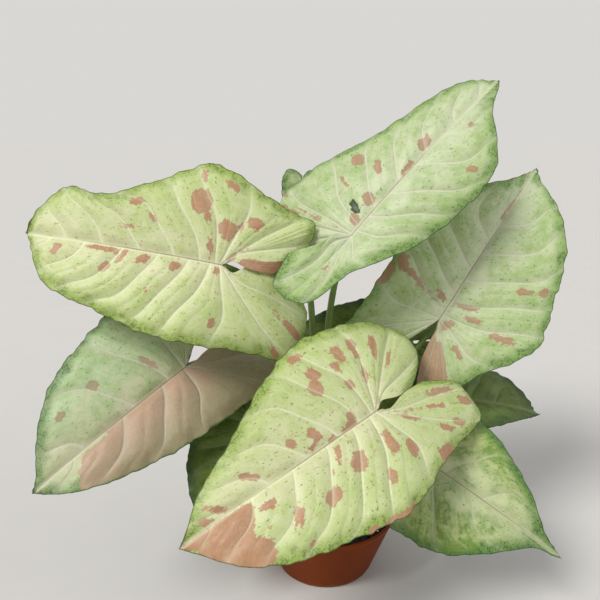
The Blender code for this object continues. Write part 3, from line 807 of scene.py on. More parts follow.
def flat_half(leaf, side, spoke, across):
    """Places in the flat half: x = start + (margin x - start) across^forward, y = margin y across,
    swollen by the waves, and made uneven: in y beside the midrib, and less, in x, in the lobe. The lobe is
    bowed away from the notch by sinus q^3 e^(3 - 3q) (1 - (spoke / SINUS_SPOKES)^2), where q is
    across / SINUS_PLACE, and then led past it by the lap."""
    margin = smooth_curve(side_outline(leaf, side), spoke)
    start = np.clip(margin[..., 2], 0, leaf.length)
    forward = 1 + VEIN_BOW * np.clip(start / (VEIN_BOW_FROM * leaf.length), 0, 1)
    x = start + (margin[..., 0] - start) * across ** forward
    uneven = unevenness(side, spoke)
    beside = smoothstep(*RUFFLE_RANGE, spoke)
    x = x * (1 + LOBE_UNEVEN * (1 - beside) * uneven * across)
    swollen = leaf.ripple * margin_wave(leaf, side, spoke)
    y = margin[..., 1] * across * (1 + swollen + beside * uneven * across)
    near = across / SINUS_PLACE
    bow = side.sinus * near ** 3 * np.exp(3 - 3 * near) * np.clip(1 - (spoke / SINUS_SPOKES) ** 2, 0, 1)
    return x, y + bow - lapped(side, spoke, across)


def bent_half(leaf, side, spoke, across):
    """The flat half folded up from the midrib, drooping to the margin, waved, and arched along the midrib.

    The half's angle is fold - droop y / (2 widest), and its height y sin(angle) + wave a^3 sine, with a fine
    ruffle a^RUFFLE_POWER sin(RUFFLE_RATE spoke + RUFFLE_TURN phase) beside the midrib. A lapped edge sinks
    by LAP_SINK of its lap. The arch turns each place down about the stalk's end by half of the angle there.
    """
    x, y = flat_half(leaf, side, spoke, across)
    rise = np.radians(side.fold) - np.radians(side.droop) * np.abs(y) / max(side.widths) / 2
    z = np.abs(y) * np.sin(rise) + leaf.wave * across ** 3 * margin_wave(leaf, side, spoke)
    ruffle = leaf.ruffle * across ** RUFFLE_POWER * np.sin(RUFFLE_RATE * spoke + RUFFLE_TURN * side.phase)
    z += ruffle * smoothstep(*RUFFLE_RANGE, spoke) - LAP_SINK * lapped(side, spoke, across)
    y = y * np.cos(rise)
    turned = np.radians(leaf.arch) * x / leaf.length
    down = np.where(x > 0, turned, np.radians(side.lobe_droop) * x / side.lobe[0])
    x, z = x * np.cos(down / 2) + z * np.sin(down), z * np.cos(down) - x * np.sin(down / 2)
    return np.stack([x, y, z], axis=-1)


def leaf_matrix(leaf):
    """Turns and places the blade: x along the midrib, z out of its upper face."""
    turn = Matrix.Rotation(math.radians(leaf.heading), 4, "Z")
    turn = turn @ Matrix.Rotation(-math.radians(leaf.pitch), 4, "Y")
    turn = turn @ Matrix.Rotation(math.radians(leaf.roll), 4, "X")
    return Matrix.Translation(Vector(leaf.at)) @ turn


def across_columns(count):
    """q - COLUMN_CROWDING sin(2 pi q) / (2 pi) for even q: columns crowd by the midrib and the margin."""
    even = np.linspace(0, 1, count + 1)
    return even - COLUMN_CROWDING * np.sin(2 * np.pi * even) / (2 * np.pi)


def ring_grid(count, sides, poles=(0, -1)):
    """Vertex numbers of rings, each closed by its first one again. The rings at the poles are one vertex."""
    index = np.arange(count * sides).reshape(count, sides)
    index = np.concatenate([index, index[:, :1]], axis=1)
    for pole in poles:
        index[pole, :] = index[pole, 0]
    return index


def triangles_of(index):
    """Triangles of a grid of vertex numbers, without those that have shrunk to a line."""
    a, b = index[:-1, :-1], index[1:, :-1]
    c, d = index[1:, 1:], index[:-1, 1:]
    faces = np.concatenate([np.stack([a, b, c], -1).reshape(-1, 3), np.stack([a, c, d], -1).reshape(-1, 3)])
    shrunk = (faces[:, 0] == faces[:, 1]) | (faces[:, 1] == faces[:, 2]) | (faces[:, 2] == faces[:, 0])
    return faces[~shrunk]


def joined(bodies):
    """The places and faces of several bodies as one."""
    starts = np.cumsum([0] + [len(places) for places, _ in bodies])
    faces = [triangles + start for (_, triangles), start in zip(bodies, starts)]
    return np.concatenate([places for places, _ in bodies]), np.concatenate(faces)


def vertex_normals(places, faces):
    """Each vertex's normal: the sum of its triangles' normals, weighted by their areas, made 1 long."""
    corners = places[faces]
    normals = np.cross(corners[:, 1] - corners[:, 0], corners[:, 2] - corners[:, 0])
    total = np.zeros_like(places)
    for corner in range(3):
        np.add.at(total, faces[:, corner], normals)
    return total / np.maximum(np.linalg.norm(total, axis=1, keepdims=True), 1e-12)


def make_mesh(name, places, faces, spreads=None, charts=None):
    """A smooth triangle mesh, with numbers on its vertices and UV maps on its corners."""
    used, compact = np.unique(faces, return_inverse=True)
    faces = compact.reshape(faces.shape)
    mesh = bpy.data.meshes.new(name)
    mesh.vertices.add(len(used))
    mesh.vertices.foreach_set("co", places[used].astype(np.float32).ravel())
    mesh.loops.add(faces.size)
    mesh.loops.foreach_set("vertex_index", faces.astype(np.int32).ravel())
    mesh.polygons.add(len(faces))
    mesh.polygons.foreach_set("loop_start", np.arange(0, faces.size, 3, dtype=np.int32))
    mesh.update(calc_edges=True)
    mesh.shade_smooth()
    for key, values in (spreads or {}).items():
        layer = mesh.attributes.new(key, "FLOAT", "POINT")
        layer.data.foreach_set("value", values[used].astype(np.float32))
    for key, values in (charts or {}).items():
        layer = mesh.uv_layers.new(name=key)
        layer.data.foreach_set("uv", values[used][faces.ravel()].astype(np.float32).ravel())
    if mesh.validate():
        raise RuntimeError(f"{name} had faces that Blender removed")
    return mesh


def placed(name, data):
    """An object of the mesh, the lamp or the camera, put in the scene."""
    added = bpy.data.objects.new(name, data)
    bpy.context.scene.collection.objects.link(added)
    return added


def add_piece(name, mesh, material, slot, *nodes):
    """Puts the piece in the scene, on its body, in place of the nodes."""
    piece = placed(name, mesh)
    mesh.materials.append(material)
    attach(piece, BODY)
    if nodes:
        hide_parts(*nodes)
    return piece


def vein_number(spoke, across, veins):
    """A number that rises by one from each vein to the next, and is whole on them.

    A vein that leaves the midrib at spoke v lies at v + sweep a^2, where a is the part of the way
    across. The sweep bends the veins to the tip ahead of the waist, and to the lobe's end behind it. They
    also wander by VEIN_WANDER a sin(WANDER_ACROSS a + WANDER_ALONG v).
    """
    sweep = VEIN_SWEEP * (smoothstep(*SWEEP_AHEAD, spoke) - smoothstep(*SWEEP_BEHIND, spoke))
    wander = VEIN_WANDER * across * np.sin(WANDER_ACROSS * across + WANDER_ALONG * spoke)
    marks = np.array([-1.0, *veins, LAST_SPOKE + 1.0])
    return np.interp(spoke + wander - sweep * across ** 2, marks, np.arange(len(marks)))


def patch_depth(patch, power, spoke, across, spoke_size, across_size):
    """Metres inside one patch: (1 - (u^p + v^p)^(1/p)) times its smaller half size, where u and v run from
    0 in its middle to 1 at its sides."""
    low, high, near, far = patch
    u = np.abs(2 * spoke - low - high) / (high - low)
    v = np.abs(2 * across - near - far) / (far - near)
    size = 0.5 * np.minimum((high - low) * spoke_size, (far - near) * across_size)
    return (1 - (u ** power + v ** power) ** (1 / power)) * size


def measure_half(leaf, side, rows, columns, veins):
    """One half's places and the numbers that its relief and its paint need, as grids of rows and columns.

    spoke_size and across_size are metres to one spoke, and to the whole way across, at each place. gap is the
    distance between two veins, edge the distance to the margin, and pink and tear the metres inside a mark.
    """
    spoke, across = np.meshgrid(rows, columns, indexing="ij")
    x, y = flat_half(leaf, side, spoke, across)
    x_along, y_along = np.gradient(x, rows, axis=0), np.gradient(y, rows, axis=0)
    x_across, y_across = np.gradient(x, columns, axis=1), np.gradient(y, columns, axis=1)
    area = np.abs(x_along * y_across - y_along * x_across)
    across_size = np.hypot(x_across, y_across)
    spoke_size = area / np.maximum(across_size, 1e-6)
    edge_size = np.maximum(area / np.maximum(np.hypot(x_along, y_along), 1e-5), 0.3 * across_size)
    number = vein_number(spoke, across, veins)
    gap = spoke_size / np.maximum(np.gradient(number, rows, axis=0), 0.2)
    measures = (spoke, across, spoke_size, across_size)
    pink = np.full(spoke.shape, NO_PINK)
    for patch in side.patches:
        pink = np.maximum(pink, patch_depth(patch, PATCH_POWER, *measures))
    for zone in side.zones:
        pink = np.maximum(pink, patch_depth(zone, ZONE_POWER, *measures) * ZONE_CLEANNESS)
    return {
        "place": bent_half(leaf, side, spoke, across), "x": x, "y": y, "across": across, "number": number,
        "gap": np.clip(gap, 0, 0.03), "edge": (1 - across) * edge_size, "pink": pink,
        "tear": patch_depth(side.tear or NO_TEAR, TEAR_POWER, *measures),
    }


def blade_grid(leaf, settings):
    """Both halves' measures as one grid from the right margin to the left, and its vertex numbers.

    The halves share the midrib's column. Its rows behind the stalk's end are one vertex, as is the tip.
    """
    rows = np.linspace(0, LAST_SPOKE, int(ROWS_STRETCH * leaf.length / settings.row_gap) + 1)
    columns = across_columns(settings.columns)
    left = measure_half(leaf, leaf.left, rows, columns, leaf.veins[0])
    right = measure_half(leaf, leaf.right, rows, columns, leaf.veins[1])
    right["place"] = right["place"] * np.array((1, -1, 1))
    right["y"] = -right["y"]
    right["across"] = -right["across"]
    grid = {key: np.concatenate([right[key][:, :0:-1], left[key]], axis=1) for key in left}
    index = np.arange(grid["x"].size).reshape(grid["x"].shape)
    midrib = len(columns) - 1
    index[left["x"][:, 0] <= 0, midrib] = index[0, midrib]
    index[-1, :] = index[-1, 0]
    return grid, index


def swelling(flat, quilt):
    """How far the blade rises between two veins: quilt gap (1 - |2b - 1|^QUILT_POWER - the bell of the minor
    vein half-way), where b is the part of the way between them, less by the midrib and the margin, and
    sunk in a tear."""
    part = flat["number"] % 1
    calm = smoothstep(0.0, CALM_BY_RIB, flat["rib"]) * smoothstep(0.0, CALM_BY_EDGE, flat["edge"])
    swell = np.minimum(flat["gap"], WIDEST_QUILT) * quilt * calm
    swell *= 1 - np.abs(2 * part - 1) ** QUILT_POWER - MINOR_DEPTH * bell(part - 0.5, MINOR_PART)
    return swell - TEAR_DEPTH * smoothstep(*TEAR_EDGE, flat["tear"])


def skins(flat, middle, normal, length, thickness):
    """The upper and the lower skin, half the thickness from the middle surface, and thinner at the margin.

    The upper one has a groove over the midrib and slight ones over the veins, and the lower one a keel under
    the midrib, which grows towards the stalk, and ridges under the veins: each a bell.
    """
    ahead = np.clip(1 - flat["x"] / length, 0, 1)
    thin = smoothstep(0.0, EDGE_WIDTH, flat["edge"])
    half = 0.5 * thickness * (EDGE_PART + (1 - EDGE_PART) * thin)
    vein = (0.5 - np.abs(flat["number"] % 1 - 0.5)) * flat["gap"]
    fading = (1 - flat["across"] ** 2) * smoothstep(0.0, RIDGES_FROM, flat["rib"]) * thin
    ridge = bell(vein, RIDGE_WIDTH) * fading
    groove = GROOVE_DEPTH * bell(flat["rib"], GROOVE_WIDTH) * thin
    keel = (KEEL_DEPTH + KEEL_GROWTH * ahead) * bell(flat["rib"], KEEL_WIDTH) * thin
    upper = middle + normal * (half - groove - RIDGE_ABOVE * ridge)[:, None]
    lower = middle - normal * (half + keel + RIDGE_BELOW * ridge)[:, None]
    return upper, lower


def margin_strip(index):
    """Triangles that join the two skins along the grid's border, from the tip round the notch and back."""
    total = index.size
    border = np.concatenate([index[::-1, -1], index[0, -2::-1], index[1:, 0]])
    first, second = border[:-1], border[1:]
    strip = np.concatenate([
        np.stack([second, first, first + total], -1), np.stack([second, first + total, second + total], -1)])
    return strip[np.tile(first != second, 2)]


def make_leaf(name, leaf, settings, material):
    """A blade with an upper and a lower skin, closed round the margin.

    The middle surface is the bent half, swollen along its normals. The skins then lie along the normals of
    the swollen surface, which are turned upright close to the stalk, where all veins meet.
    """
    grid, index = blade_grid(leaf, settings)
    middle = grid.pop("place").reshape(-1, 3)
    flat = {key: values.ravel() for key, values in grid.items()}
    from_stalk = np.hypot(flat["x"], flat["y"])
    flat["rib"] = np.where(flat["x"] < 0, from_stalk, np.abs(flat["y"]))
    faces = triangles_of(index)
    middle = middle + vertex_normals(middle, faces) * swelling(flat, settings.quilt)[:, None]
    upright = 1 - smoothstep(*UPRIGHT_RANGE, from_stalk)[:, None]
    normal = vertex_normals(middle, faces) * (1 - upright) + np.array((0.0, 0.0, 1.0)) * upright
    upper, lower = skins(flat, middle, normal, leaf.length, settings.thickness)

    shell = np.concatenate([faces, faces[:, ::-1] + index.size, margin_strip(index)])
    matrix = np.array(leaf_matrix(leaf))
    places = np.concatenate([upper, lower]) @ matrix[:3, :3].T + matrix[:3, 3]
    spreads = {key: np.tile(flat[key], 2) for key in ("number", "gap", "edge", "pink", "tear", "rib")}
    spreads["under"] = np.repeat((0.0, 1.0), index.size)
    charts = {
        "flat": np.tile(np.stack([flat["x"], flat["y"]], -1), (2, 1)),
        "fan": np.tile(np.stack([flat["number"], flat["across"]], -1), (2, 1)),
    }
    add_piece(f"{name}_blade", make_mesh(name, places, shell, spreads, charts), material, leaf.finish, name)


def stalk_path(leaf, count):
    """A cubic Bezier curve from inside the crown to the blade's keel, arriving at the reflex angle."""
    turn = leaf_matrix(leaf).to_3x3()
    reflex = math.radians(leaf.reflex)
    arrival = turn @ Vector((math.cos(reflex), 0, math.sin(reflex)))
    top = Vector(leaf.at) - (turn @ Vector((0, 0, 1))) * KEEL_DROP - arrival * STALK_SHORT
    x, y = CROWNS[leaf.crown]
    lean = Vector((top.x - x, top.y - y, 0)).normalized() * STALK_LEAN
    foot = Vector((x, y, SOIL_TOP + STALK_FOOT)) + lean
    handles = np.array([foot, foot + Vector((0, 0, leaf.rise)), top - arrival * leaf.reach, top])
    t = np.linspace(0, 1, count)[:, None]
    weights = np.hstack([(1 - t) ** 3, 3 * t * (1 - t) ** 2, 3 * t * t * (1 - t), t ** 3])
    return weights @ handles


def tube(path, radii, sides, hollow=None):
    """Rings of a radius that may change along the path, with both ends closed to a point.

    The rings stand square to the path. side = tangent x plane, up = side x tangent, and each place is
    path + radius (cos(angle) side + sin(angle) up). The hollow takes a part of the radius away where the
    angle points up: hollow times the bell of 1 - sin(angle).
    """
    tangent = np.gradient(path, axis=0)
    tangent /= np.linalg.norm(tangent, axis=1, keepdims=True)
    plane = np.cross(path[-1] - path[0], (0.0, 0.0, 1.0))
    plane = plane / np.linalg.norm(plane)
    up = np.cross(tangent, plane)
    up /= np.linalg.norm(up, axis=1, keepdims=True)
    side = np.cross(up, tangent)
    angle = np.linspace(0, 2 * np.pi, sides, endpoint=False)
    reach = np.broadcast_to(np.asarray(radii)[:, None], (len(path), sides)).copy()
    if hollow is not None:
        reach *= 1 - hollow[:, None] * bell(np.cos(angle - np.pi / 2) - 1, CHANNEL_WIDTH)[None, :]
    ring = np.cos(angle)[None, :, None] * side[:, None, :] + np.sin(angle)[None, :, None] * up[:, None, :]
    places = (path[:, None, :] + reach[:, :, None] * ring).reshape(-1, 3)
    index = ring_grid(len(path), sides)
    places[index[0, 0]] = path[0]
    places[index[-1, 0]] = path[-1]
    return places, triangles_of(index)[:, ::-1]


def capped(radii, path, end):
    """The radii with the path's two ends rounded off over the end length: r sqrt(1 - (1 - q)^2)."""
    steps = np.concatenate([[0], np.cumsum(np.linalg.norm(np.diff(path, axis=0), axis=1))])
    away = np.minimum(steps, steps[-1] - steps)
    part = np.clip(away / end, 0, 1)
    return radii * np.sqrt(np.maximum(1 - (1 - part) ** 2, 0))


def crown_tube(name, count=60, sides=28):
    """A crown: an upright line, bent by a sine, with a radius that thins upwards and swells in node rings."""
    x, y = CROWNS[name]
    height = np.linspace(SOIL_TOP - CROWN_DEPTH, SOIL_TOP + CROWN_HEIGHT, count)
    bend = CROWN_BEND * np.sin((height - SOIL_TOP) * CROWN_BEND_RATE)
    path = np.stack([x + bend, y - bend, height], -1)
    part = np.linspace(0, 1, count)
    radii = CROWN_RADIUS - CROWN_TAPER * part + RING_HEIGHT * bell(part * RING_COUNT % 1 - 0.5, RING_PART)
    return tube(path, capped(radii, path, CROWN_END), sides)


def stalk_tube(leaf, count=90, sides=20):
    """A stalk that thins upwards, with a sheath at its foot, a pad by the blade and a channel above."""
    path = stalk_path(leaf, count)
    part = np.linspace(0, 1, count)
    radii = STALK_RADIUS - STALK_TAPER * part + SHEATH_FLARE * bell(part, SHEATH_PART)
    radii = radii + PAD_FLARE * smoothstep(*PAD_RANGE, part)
    radii = radii + STALK_UNEVEN * np.sin(part * STALK_UNEVEN_RATE)
    hollow = CHANNEL_DEPTH * smoothstep(*CHANNEL_OPENS, part) * (1 - smoothstep(*CHANNEL_CLOSES, part))
    return tube(path, capped(radii, path, STALK_END), sides, hollow)


def make_stem(name, material):
    """A crown with the stalks that spring from it."""
    tubes = [crown_tube(name)] + [stalk_tube(leaf) for leaf in LEAVES.values() if leaf.crown == name]
    add_piece(f"{name}_stalks", make_mesh(name, *joined(tubes)), material, "green_stem", name)


def stalk_paint(settings):
    """Smooth green skin with fine lengthwise streaks, paler and a little brown by the soil."""
    paint = Paint("stalk_skin")
    places = paint.places()
    streaks = paint.noise(paint.scaled(places, (1.0, 1.0, 0.12)), 1400.0, 3.0)
    broad = paint.noise(places, 90.0, 3.0)
    base = tuple(settings.stalk_colour)
    colour = paint.mix((streaks * 1.6 + 0.5).clamped(), base, screen(112, 138, 62))
    colour = paint.mix((broad * 2.0 + 0.3).clamped() * 0.5, colour, screen(62, 88, 34))
    height = paint.part(places, "Z") + broad * 0.01
    colour = paint.mix(height.fade(0.047, 0.034) * 0.6, colour, screen(150, 128, 88))
    normal = paint.bump(streaks, 0.0002)
    return paint.finish(
        colour, 0.38 + broad * 0.2, normal, Specular_IOR_Level=0.45, Subsurface_Weight=0.08, **LIVING_SKIN)


def turned(profile, sides, poles=(0, -1)):
    """A surface turned about Z from (radius, height) points, running down outside. The poles are points on
    the axis."""
    profile = np.asarray(profile, dtype=float)
    angle = np.linspace(0, 2 * np.pi, sides, endpoint=False)
    radius, height = profile[:, 0], profile[:, 1]
    places = np.stack([
        radius[:, None] * np.cos(angle), radius[:, None] * np.sin(angle),
        np.broadcast_to(height[:, None], (len(profile), sides))], -1)
    return places.reshape(-1, 3), triangles_of(ring_grid(len(profile), sides, poles))


def arc(centre, radius, start, end, steps):
    """Points (radius, height) of an arc about the centre, by degrees from +X towards +Z."""
    angles = np.radians(np.linspace(start, end, steps + 1))
    return [(centre[0] + radius * math.cos(angle), centre[1] + radius * math.sin(angle)) for angle in angles]


def wall_radius(height):
    """The pot's outer radius at a height."""
    return POT_FOOT_RADIUS + (POT_RIM_RADIUS - POT_FOOT_RADIUS) * height / POT_HEIGHT


def pot_profile():
    """The pot's section: floor, inner wall, a lip that turns out a little, outer wall and rounded foot."""
    inner = [
        (wall_radius(height) - POT_WALL, height) for height in np.linspace(POT_FLOOR + 0.001, 0.0318, 24)]
    lip = arc((POT_RIM_RADIUS - LIP_INSET, POT_HEIGHT - LIP_RADIUS), LIP_RADIUS, 165, -60, 14)
    outer = [(wall_radius(height), height) for height in np.linspace(0.0312, 0.0022, 30)]
    foot = arc((POT_FOOT_RADIUS - FOOT_INSET, FOOT_BEND), FOOT_BEND, -10, -90, 8)
    floor = [(radius, POT_FLOOR) for radius in np.linspace(0.0, FLOOR_RADIUS, 8)]
    return floor + inner + lip + outer + foot + list(UNDERSIDE)


def drill_drains(pot):
    """Takes the drain holes out of the pot's floor, and applies the cut."""
    section = [(0, DRILL_REACH), (DRAIN_RADIUS, DRILL_REACH), (DRAIN_RADIUS, -DRILL_REACH), (0, -DRILL_REACH)]
    places, faces = turned(section, 32)
    turns = 2 * math.pi * (np.arange(DRAIN_COUNT) + 0.5) / DRAIN_COUNT
    spots = [(DRAIN_RING_RADIUS * math.cos(turn), DRAIN_RING_RADIUS * math.sin(turn), 0) for turn in turns]
    cutter = placed("drains", make_mesh("drains", *joined([(places + spot, faces) for spot in spots])))
    boolean = pot.modifiers.new("Drains", "BOOLEAN")
    boolean.operation = "DIFFERENCE"
    boolean.solver = "EXACT"
    boolean.object = cutter
    bpy.context.view_layer.update()
    cut = bpy.data.meshes.new_from_object(pot.evaluated_get(bpy.context.evaluated_depsgraph_get()))
    pot.modifiers.clear()
    pot.data = cut
    bpy.data.objects.remove(cutter, do_unlink=True)
    cut.shade_smooth()
    cut.set_sharp_from_angle(angle=math.radians(SHARP_ANGLE))


def plastic_paint(settings):
    """Smooth moulded plastic with a soft sheen, faint scuffs, and a little dust by the foot."""
    paint = Paint("terracotta_plastic_skin")
    places = paint.places()
    broad = paint.noise(places, 45.0, 4.0)
    fine = paint.noise(places, 1100.0, 3.0, 0.6)
    rubs = paint.noise(paint.scaled(places, (1.0, 1.0, 5.0)), 160.0, 5.0, 0.7)
    base = tuple(settings.plastic_colour)
    colour = paint.mix((broad * 1.6 + 0.5).clamped(), base, screen(106, 43, 2))
    scuffs = rubs.fade(0.16, 0.3) * 0.3
    colour = paint.mix(scuffs, colour, screen(152, 80, 30))
    dust = (paint.part(places, "Z") + rubs * 0.004).fade(0.003, 0.0005) * 0.35
    colour = paint.mix(dust, colour, screen(150, 108, 70))
    normal = paint.bump(fine * 0.5 + scuffs, 0.00012)
    return paint.finish(colour, 0.5 + broad * 0.2 + dust * 0.3, normal, Specular_IOR_Level=0.12)


def make_pot(settings):
    """The turned pot with its drain holes."""
    shell = make_mesh("pot_shell", *turned(pot_profile(), settings.sides))
    drill_drains(add_piece("pot_shell", shell, plastic_paint(settings), "terracotta_plastic", "pot"))


def wavy(x, y):
    """A rough height: the sum of sines in random directions, each finer one lower."""
    random = np.random.default_rng(SOIL_SEED)
    total = np.zeros_like(x)
    for order in range(SOIL_WAVE_COUNT):
        turn, phase = random.uniform(0, 2 * np.pi, 2)
        finer = SOIL_WAVES * 1.35 ** order
        total += np.sin((x * np.cos(turn) + y * np.sin(turn)) * finer + phase) / 1.22 ** order
    return total / 4


def soil_height(x, y):
    """The soil's top: a little under SOIL_TOP in the middle, falling with the radius squared, and rough."""
    radius = np.hypot(x, y)
    fall = (SOIL_TOP - SOIL_EDGE) * np.clip(radius / SOIL_FALL_RADIUS, 0, 1) ** 2
    rough = SOIL_ROUGHNESS * wavy(x, y)
    return SOIL_TOP - SOIL_SINK - fall + rough * np.clip((0.037 - radius) / 0.004, 0.3, 1)


def make_soil_plug(material, sides=150, rings=90, walls=6):
    """The soil's body: rings under the rough top, at the radius q^0.75, a side and a floor inside the pot."""
    radius = np.concatenate([np.linspace(0, 1, rings) ** 0.75, np.ones(walls), [0.6, 0.0]])
    level = np.concatenate([np.ones(rings), np.linspace(0.85, 0.0, walls), [0.0, 0.0]])
    edge = wall_radius(SOIL_EDGE) - POT_WALL - SOIL_GAP
    low = POT_FLOOR + 0.0003
    foot = wall_radius(low) - POT_WALL - SOIL_GAP
    angle = np.linspace(0, 2 * np.pi, sides, endpoint=False)
    reach = radius * (foot + (edge - foot) * level)
    x, y = reach[:, None] * np.cos(angle), reach[:, None] * np.sin(angle)
    z = low + (soil_height(x, y) - low) * level[:, None]
    places = np.stack([x, y, z], -1).reshape(-1, 3)
    mesh = make_mesh("soil_plug", places, triangles_of(ring_grid(len(radius), sides)))
    add_piece("soil_plug", mesh, material, "potting_soil", "soil")


def icosahedron():
    """Twelve points (0, +-1, +-g), (+-1, +-g, 0), (+-g, 0, +-1), set 1 from the middle, and twenty faces."""
    g = (1 + math.sqrt(5)) / 2
    points = np.array([
        (-1, g, 0), (1, g, 0), (-1, -g, 0), (1, -g, 0), (0, -1, g), (0, 1, g),
        (0, -1, -g), (0, 1, -g), (g, 0, -1), (g, 0, 1), (-g, 0, -1), (-g, 0, 1)])
    faces = np.array([
        (0, 11, 5), (0, 5, 1), (0, 1, 7), (0, 7, 10), (0, 10, 11), (1, 5, 9), (5, 11, 4), (11, 10, 2),
        (10, 7, 6), (7, 1, 8), (3, 9, 4), (3, 4, 2), (3, 2, 6), (3, 6, 8), (3, 8, 9), (4, 9, 5),
        (2, 4, 11), (6, 2, 10), (8, 6, 7), (9, 8, 1)])
    return points / np.linalg.norm(points[0]), faces


def scatter(name, count, material, sizes, rough, sunk, seed):
    """Grains on the soil: icosahedra of random size, stretch, turn and roughness, sunk by a part of it."""
    random = np.random.default_rng(seed)
    ball, faces = icosahedron()
    radius = SCATTER_RADIUS * np.sqrt(random.uniform(0, 1, count))
    angle = random.uniform(0, 2 * np.pi, count)
    x, y = radius * np.cos(angle), radius * np.sin(angle)
    clear = np.ones(count, dtype=bool)
    for place in CROWNS.values():
        clear &= np.hypot(x - place[0], y - place[1]) > CROWN_CLEARANCE
    x, y = x[clear], y[clear]
    kept = len(x)
    size = sizes[0] + (sizes[1] - sizes[0]) * random.uniform(0, 1, kept) ** 2.5
    stretch = random.uniform(0.65, 1.25, (kept, 1, 3))
    jagged = 1 + rough * random.uniform(-1, 1, (kept, len(ball), 1))
    turns, _ = np.linalg.qr(random.normal(size=(kept, 3, 3)))
    turns = turns * np.sign(np.linalg.det(turns))[:, None, None]
    lumps = np.einsum("kij,knj->kni", turns, ball[None] * stretch * jagged) * size[:, None, None]
    centre = np.stack([x, y, soil_height(x, y) + size * (1 - sunk)], -1)
    places = (lumps + centre[:, None, :]).reshape(-1, 3)
    every = (faces[None] + len(ball) * np.arange(kept)[:, None, None]).reshape(-1, 3)
    add_piece(name, make_mesh(name, places, every), material, "potting_soil")


def soil_paint(settings):
    """Dark damp mix: brown and near-black grains, with a few fibres of lighter brown."""
    paint = Paint("potting_soil_grain")
    places = paint.places()
    broad = paint.noise(places, 180.0, 4.0)
    fine = paint.noise(places, 1500.0, 4.0, 0.7)
    grains = paint.cells(places, 900.0, "F1")
    base = tuple(settings.soil_colour)
    colour = paint.mix((fine * 1.8 + 0.5).clamped(), base, screen(22, 14, 13))
    colour = paint.mix(broad.fade(0.08, 0.25) * 0.6, colour, screen(74, 54, 42))
    normal = paint.bump(grains + fine * 0.7, 0.0006)
    return paint.finish(colour, 0.82 + fine * 0.2, normal, Specular_IOR_Level=0.35)


def grit_paint():
    """White puffed grit, dusty and a little stained."""
    paint = Paint("pale_grit")
    places = paint.places()
    fine = paint.noise(places, 1700.0, 4.0, 0.7)
    broad = paint.noise(places, 300.0, 3.0)
    colour = paint.mix((broad * 2.4 + 0.3).clamped(), screen(226, 220, 208), screen(170, 152, 132))
    normal = paint.bump(fine, 0.0003)
    return paint.finish(colour, 0.85 + fine * 0.1, normal)


def floor_paint(settings):
    """Matt pale floor."""
    paint = Paint("pale_floor")
    fine = paint.noise(paint.places(), 30.0, 3.0)
    colour = paint.mix((fine + 0.5).clamped() * 0.2, tuple(settings.floor_colour), screen(222, 219, 214))
    return paint.finish(colour, 0.9)


def make_floor(settings):
    """A wide flat disc that the pot stands on."""
    places, faces = turned([(radius, 0.0) for radius in (0.0, 0.3, 1.0, 3.0, 12.0)], 96, poles=(0,))
    floor = placed("floor", make_mesh("floor", places, faces))
    floor.data.materials.append(floor_paint(settings))


def add_sun(name, place, spread, strength, colour):
    """A soft sun that shines from the place's direction, as wide as the spread in degrees."""
    data = bpy.data.lights.new(name, "SUN")
    data.energy = strength
    data.angle = math.radians(spread)
    data.color = colour
    lamp = placed(name, data)
    lamp.location = place
    lamp.rotation_euler = Vector(place).to_track_quat("Z", "Y").to_euler()


def floor_light(settings):
    """Light that the floor sends back, as a part of white: (sky + strength cos(angle) / pi of each sun),
    times the sheen."""
    suns = ((KEY_FROM, settings.key_strength), (FILL_FROM, settings.fill_strength))
    direct = sum(strength * Vector(place).normalized().z / math.pi for place, strength in suns)
    return (settings.sky_strength + direct) * FLOOR_SHEEN


def make_sky(settings):
    """Even white light. The camera sees it in the lit floor's tone, so that the floor has no horizon."""
    world = bpy.data.worlds.new("pale_sky")
    world.use_nodes = True
    tree = world.node_tree
    light = tree.nodes["Background"]
    light.inputs["Strength"].default_value = settings.sky_strength
    light.inputs["Color"].default_value = (1.0, 1.0, 1.0, 1.0)
    seen = tree.nodes.new("ShaderNodeBackground")
    seen.inputs["Color"].default_value = tuple(settings.floor_colour)
    seen.inputs["Strength"].default_value = floor_light(settings)
    mix = tree.nodes.new("ShaderNodeMixShader")
    tree.links.new(tree.nodes.new("ShaderNodeLightPath").outputs["Is Camera Ray"], mix.inputs[0])
    tree.links.new(light.outputs[0], mix.inputs[1])
    tree.links.new(seen.outputs[0], mix.inputs[2])
    tree.links.new(mix.outputs[0], tree.nodes["World Output"].inputs["Surface"])
    return world


def make_stage_objects(settings):
    """Floor, pale sky, two soft suns and the camera at the photo's angle."""
    make_floor(settings)
    scene = bpy.context.scene
    scene.world = make_sky(settings)
    scene.view_settings.view_transform = "Standard"
    add_sun("key", KEY_FROM, spread=24, strength=settings.key_strength, colour=(1.0, 0.985, 0.96))
    add_sun("fill", FILL_FROM, spread=60, strength=settings.fill_strength, colour=(0.96, 0.98, 1.0))
    data = bpy.data.cameras.new("photo_camera")
    data.sensor_width = CAMERA_SENSOR
    data.lens = CAMERA_LENS
    data.clip_start = 0.01
    camera = placed("photo_camera", data)
    camera.location = CAMERA_PLACE
    camera.rotation_euler = (math.radians(CAMERA_TILT), 0, 0)
    scene.camera = camera


class SYNGONIUM_OT_leaves(Operator):
    """Adds the ten leaves, veined, quilted and painted"""

    bl_idname = "syngonium.leaves"
    bl_label = "Add leaves"

    def execute(self, context):
        settings = context.scene.syngonium_leaves
        paints = {slot: leaf_paint(f"{slot}_skin", kind) for slot, kind in finishes(settings).items()}
        for name, leaf in LEAVES.items():
            make_leaf(name, leaf, settings, paints[leaf.finish])
        return {"FINISHED"}


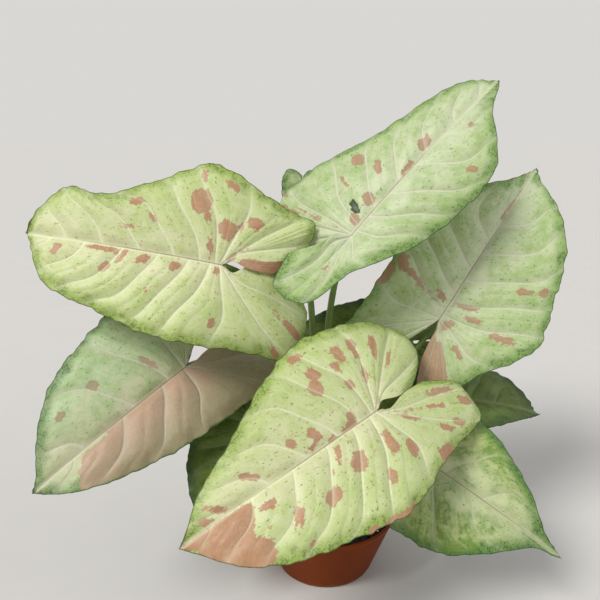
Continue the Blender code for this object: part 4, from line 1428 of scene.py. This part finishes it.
class SYNGONIUM_OT_stems(Operator):
    """Adds the three crowns with their leaf stalks"""

    bl_idname = "syngonium.stems"
    bl_label = "Add stems"

    def execute(self, context):
        material = stalk_paint(context.scene.syngonium_pot)
        for name in CROWNS:
            make_stem(name, material)
        return {"FINISHED"}


class SYNGONIUM_OT_pot(Operator):
    """Adds the turned pot"""

    bl_idname = "syngonium.pot"
    bl_label = "Add pot"

    def execute(self, context):
        make_pot(context.scene.syngonium_pot)
        return {"FINISHED"}


class SYNGONIUM_OT_soil(Operator):
    """Adds the soil with its crumbs and pale grit"""

    bl_idname = "syngonium.soil"
    bl_label = "Add soil"

    def execute(self, context):
        settings = context.scene.syngonium_pot
        material = soil_paint(settings)
        make_soil_plug(material)
        scatter(
            "soil_crumbs", settings.crumbs, material, sizes=(0.0004, 0.0018), rough=0.25, sunk=0.6, seed=7)
        scatter(
            "soil_grit", settings.beads, grit_paint(), sizes=(0.0005, 0.0014), rough=0.12, sunk=0.45, seed=11)
        return {"FINISHED"}


class SYNGONIUM_OT_stage(Operator):
    """Adds the floor, the lamps and the camera"""

    bl_idname = "syngonium.stage"
    bl_label = "Add stage"

    def execute(self, context):
        make_stage_objects(context.scene.syngonium_stage)
        return {"FINISHED"}


class SYNGONIUM_PT_panel(Panel):
    """Buttons and settings of the plant"""

    bl_idname = "SYNGONIUM_PT_panel"
    bl_label = "Syngonium"
    bl_space_type = "VIEW_3D"
    bl_region_type = "UI"
    bl_category = "Syngonium"

    def draw(self, context):
        for operator in OPERATORS:
            self.layout.operator(operator.bl_idname)
        for name in SETTINGS:
            settings = getattr(context.scene, name)
            box = self.layout.box()
            for key in settings.bl_rna.properties.keys():
                if key not in {"rna_type", "name"}:
                    box.prop(settings, key)


SETTINGS = {
    "syngonium_leaves": LeafSettings,
    "syngonium_pot": PotSettings,
    "syngonium_stage": StageSettings,
}
OPERATORS = (
    SYNGONIUM_OT_leaves, SYNGONIUM_OT_stems, SYNGONIUM_OT_pot, SYNGONIUM_OT_soil, SYNGONIUM_OT_stage)


def register():
    for group in (*SETTINGS.values(), *OPERATORS, SYNGONIUM_PT_panel):
        bpy.utils.register_class(group)
    for name, group in SETTINGS.items():
        setattr(bpy.types.Scene, name, PointerProperty(type=group))


def unregister():
    for name in SETTINGS:
        delattr(bpy.types.Scene, name)
    for group in (SYNGONIUM_PT_panel, *reversed(OPERATORS), *SETTINGS.values()):
        bpy.utils.unregister_class(group)


def main():
    """Adds everything."""
    register()
    bpy.ops.syngonium.leaves()
    bpy.ops.syngonium.stems()
    bpy.ops.syngonium.pot()
    bpy.ops.syngonium.soil()
    bpy.ops.syngonium.stage()


if __name__ == "__main__":
    main()
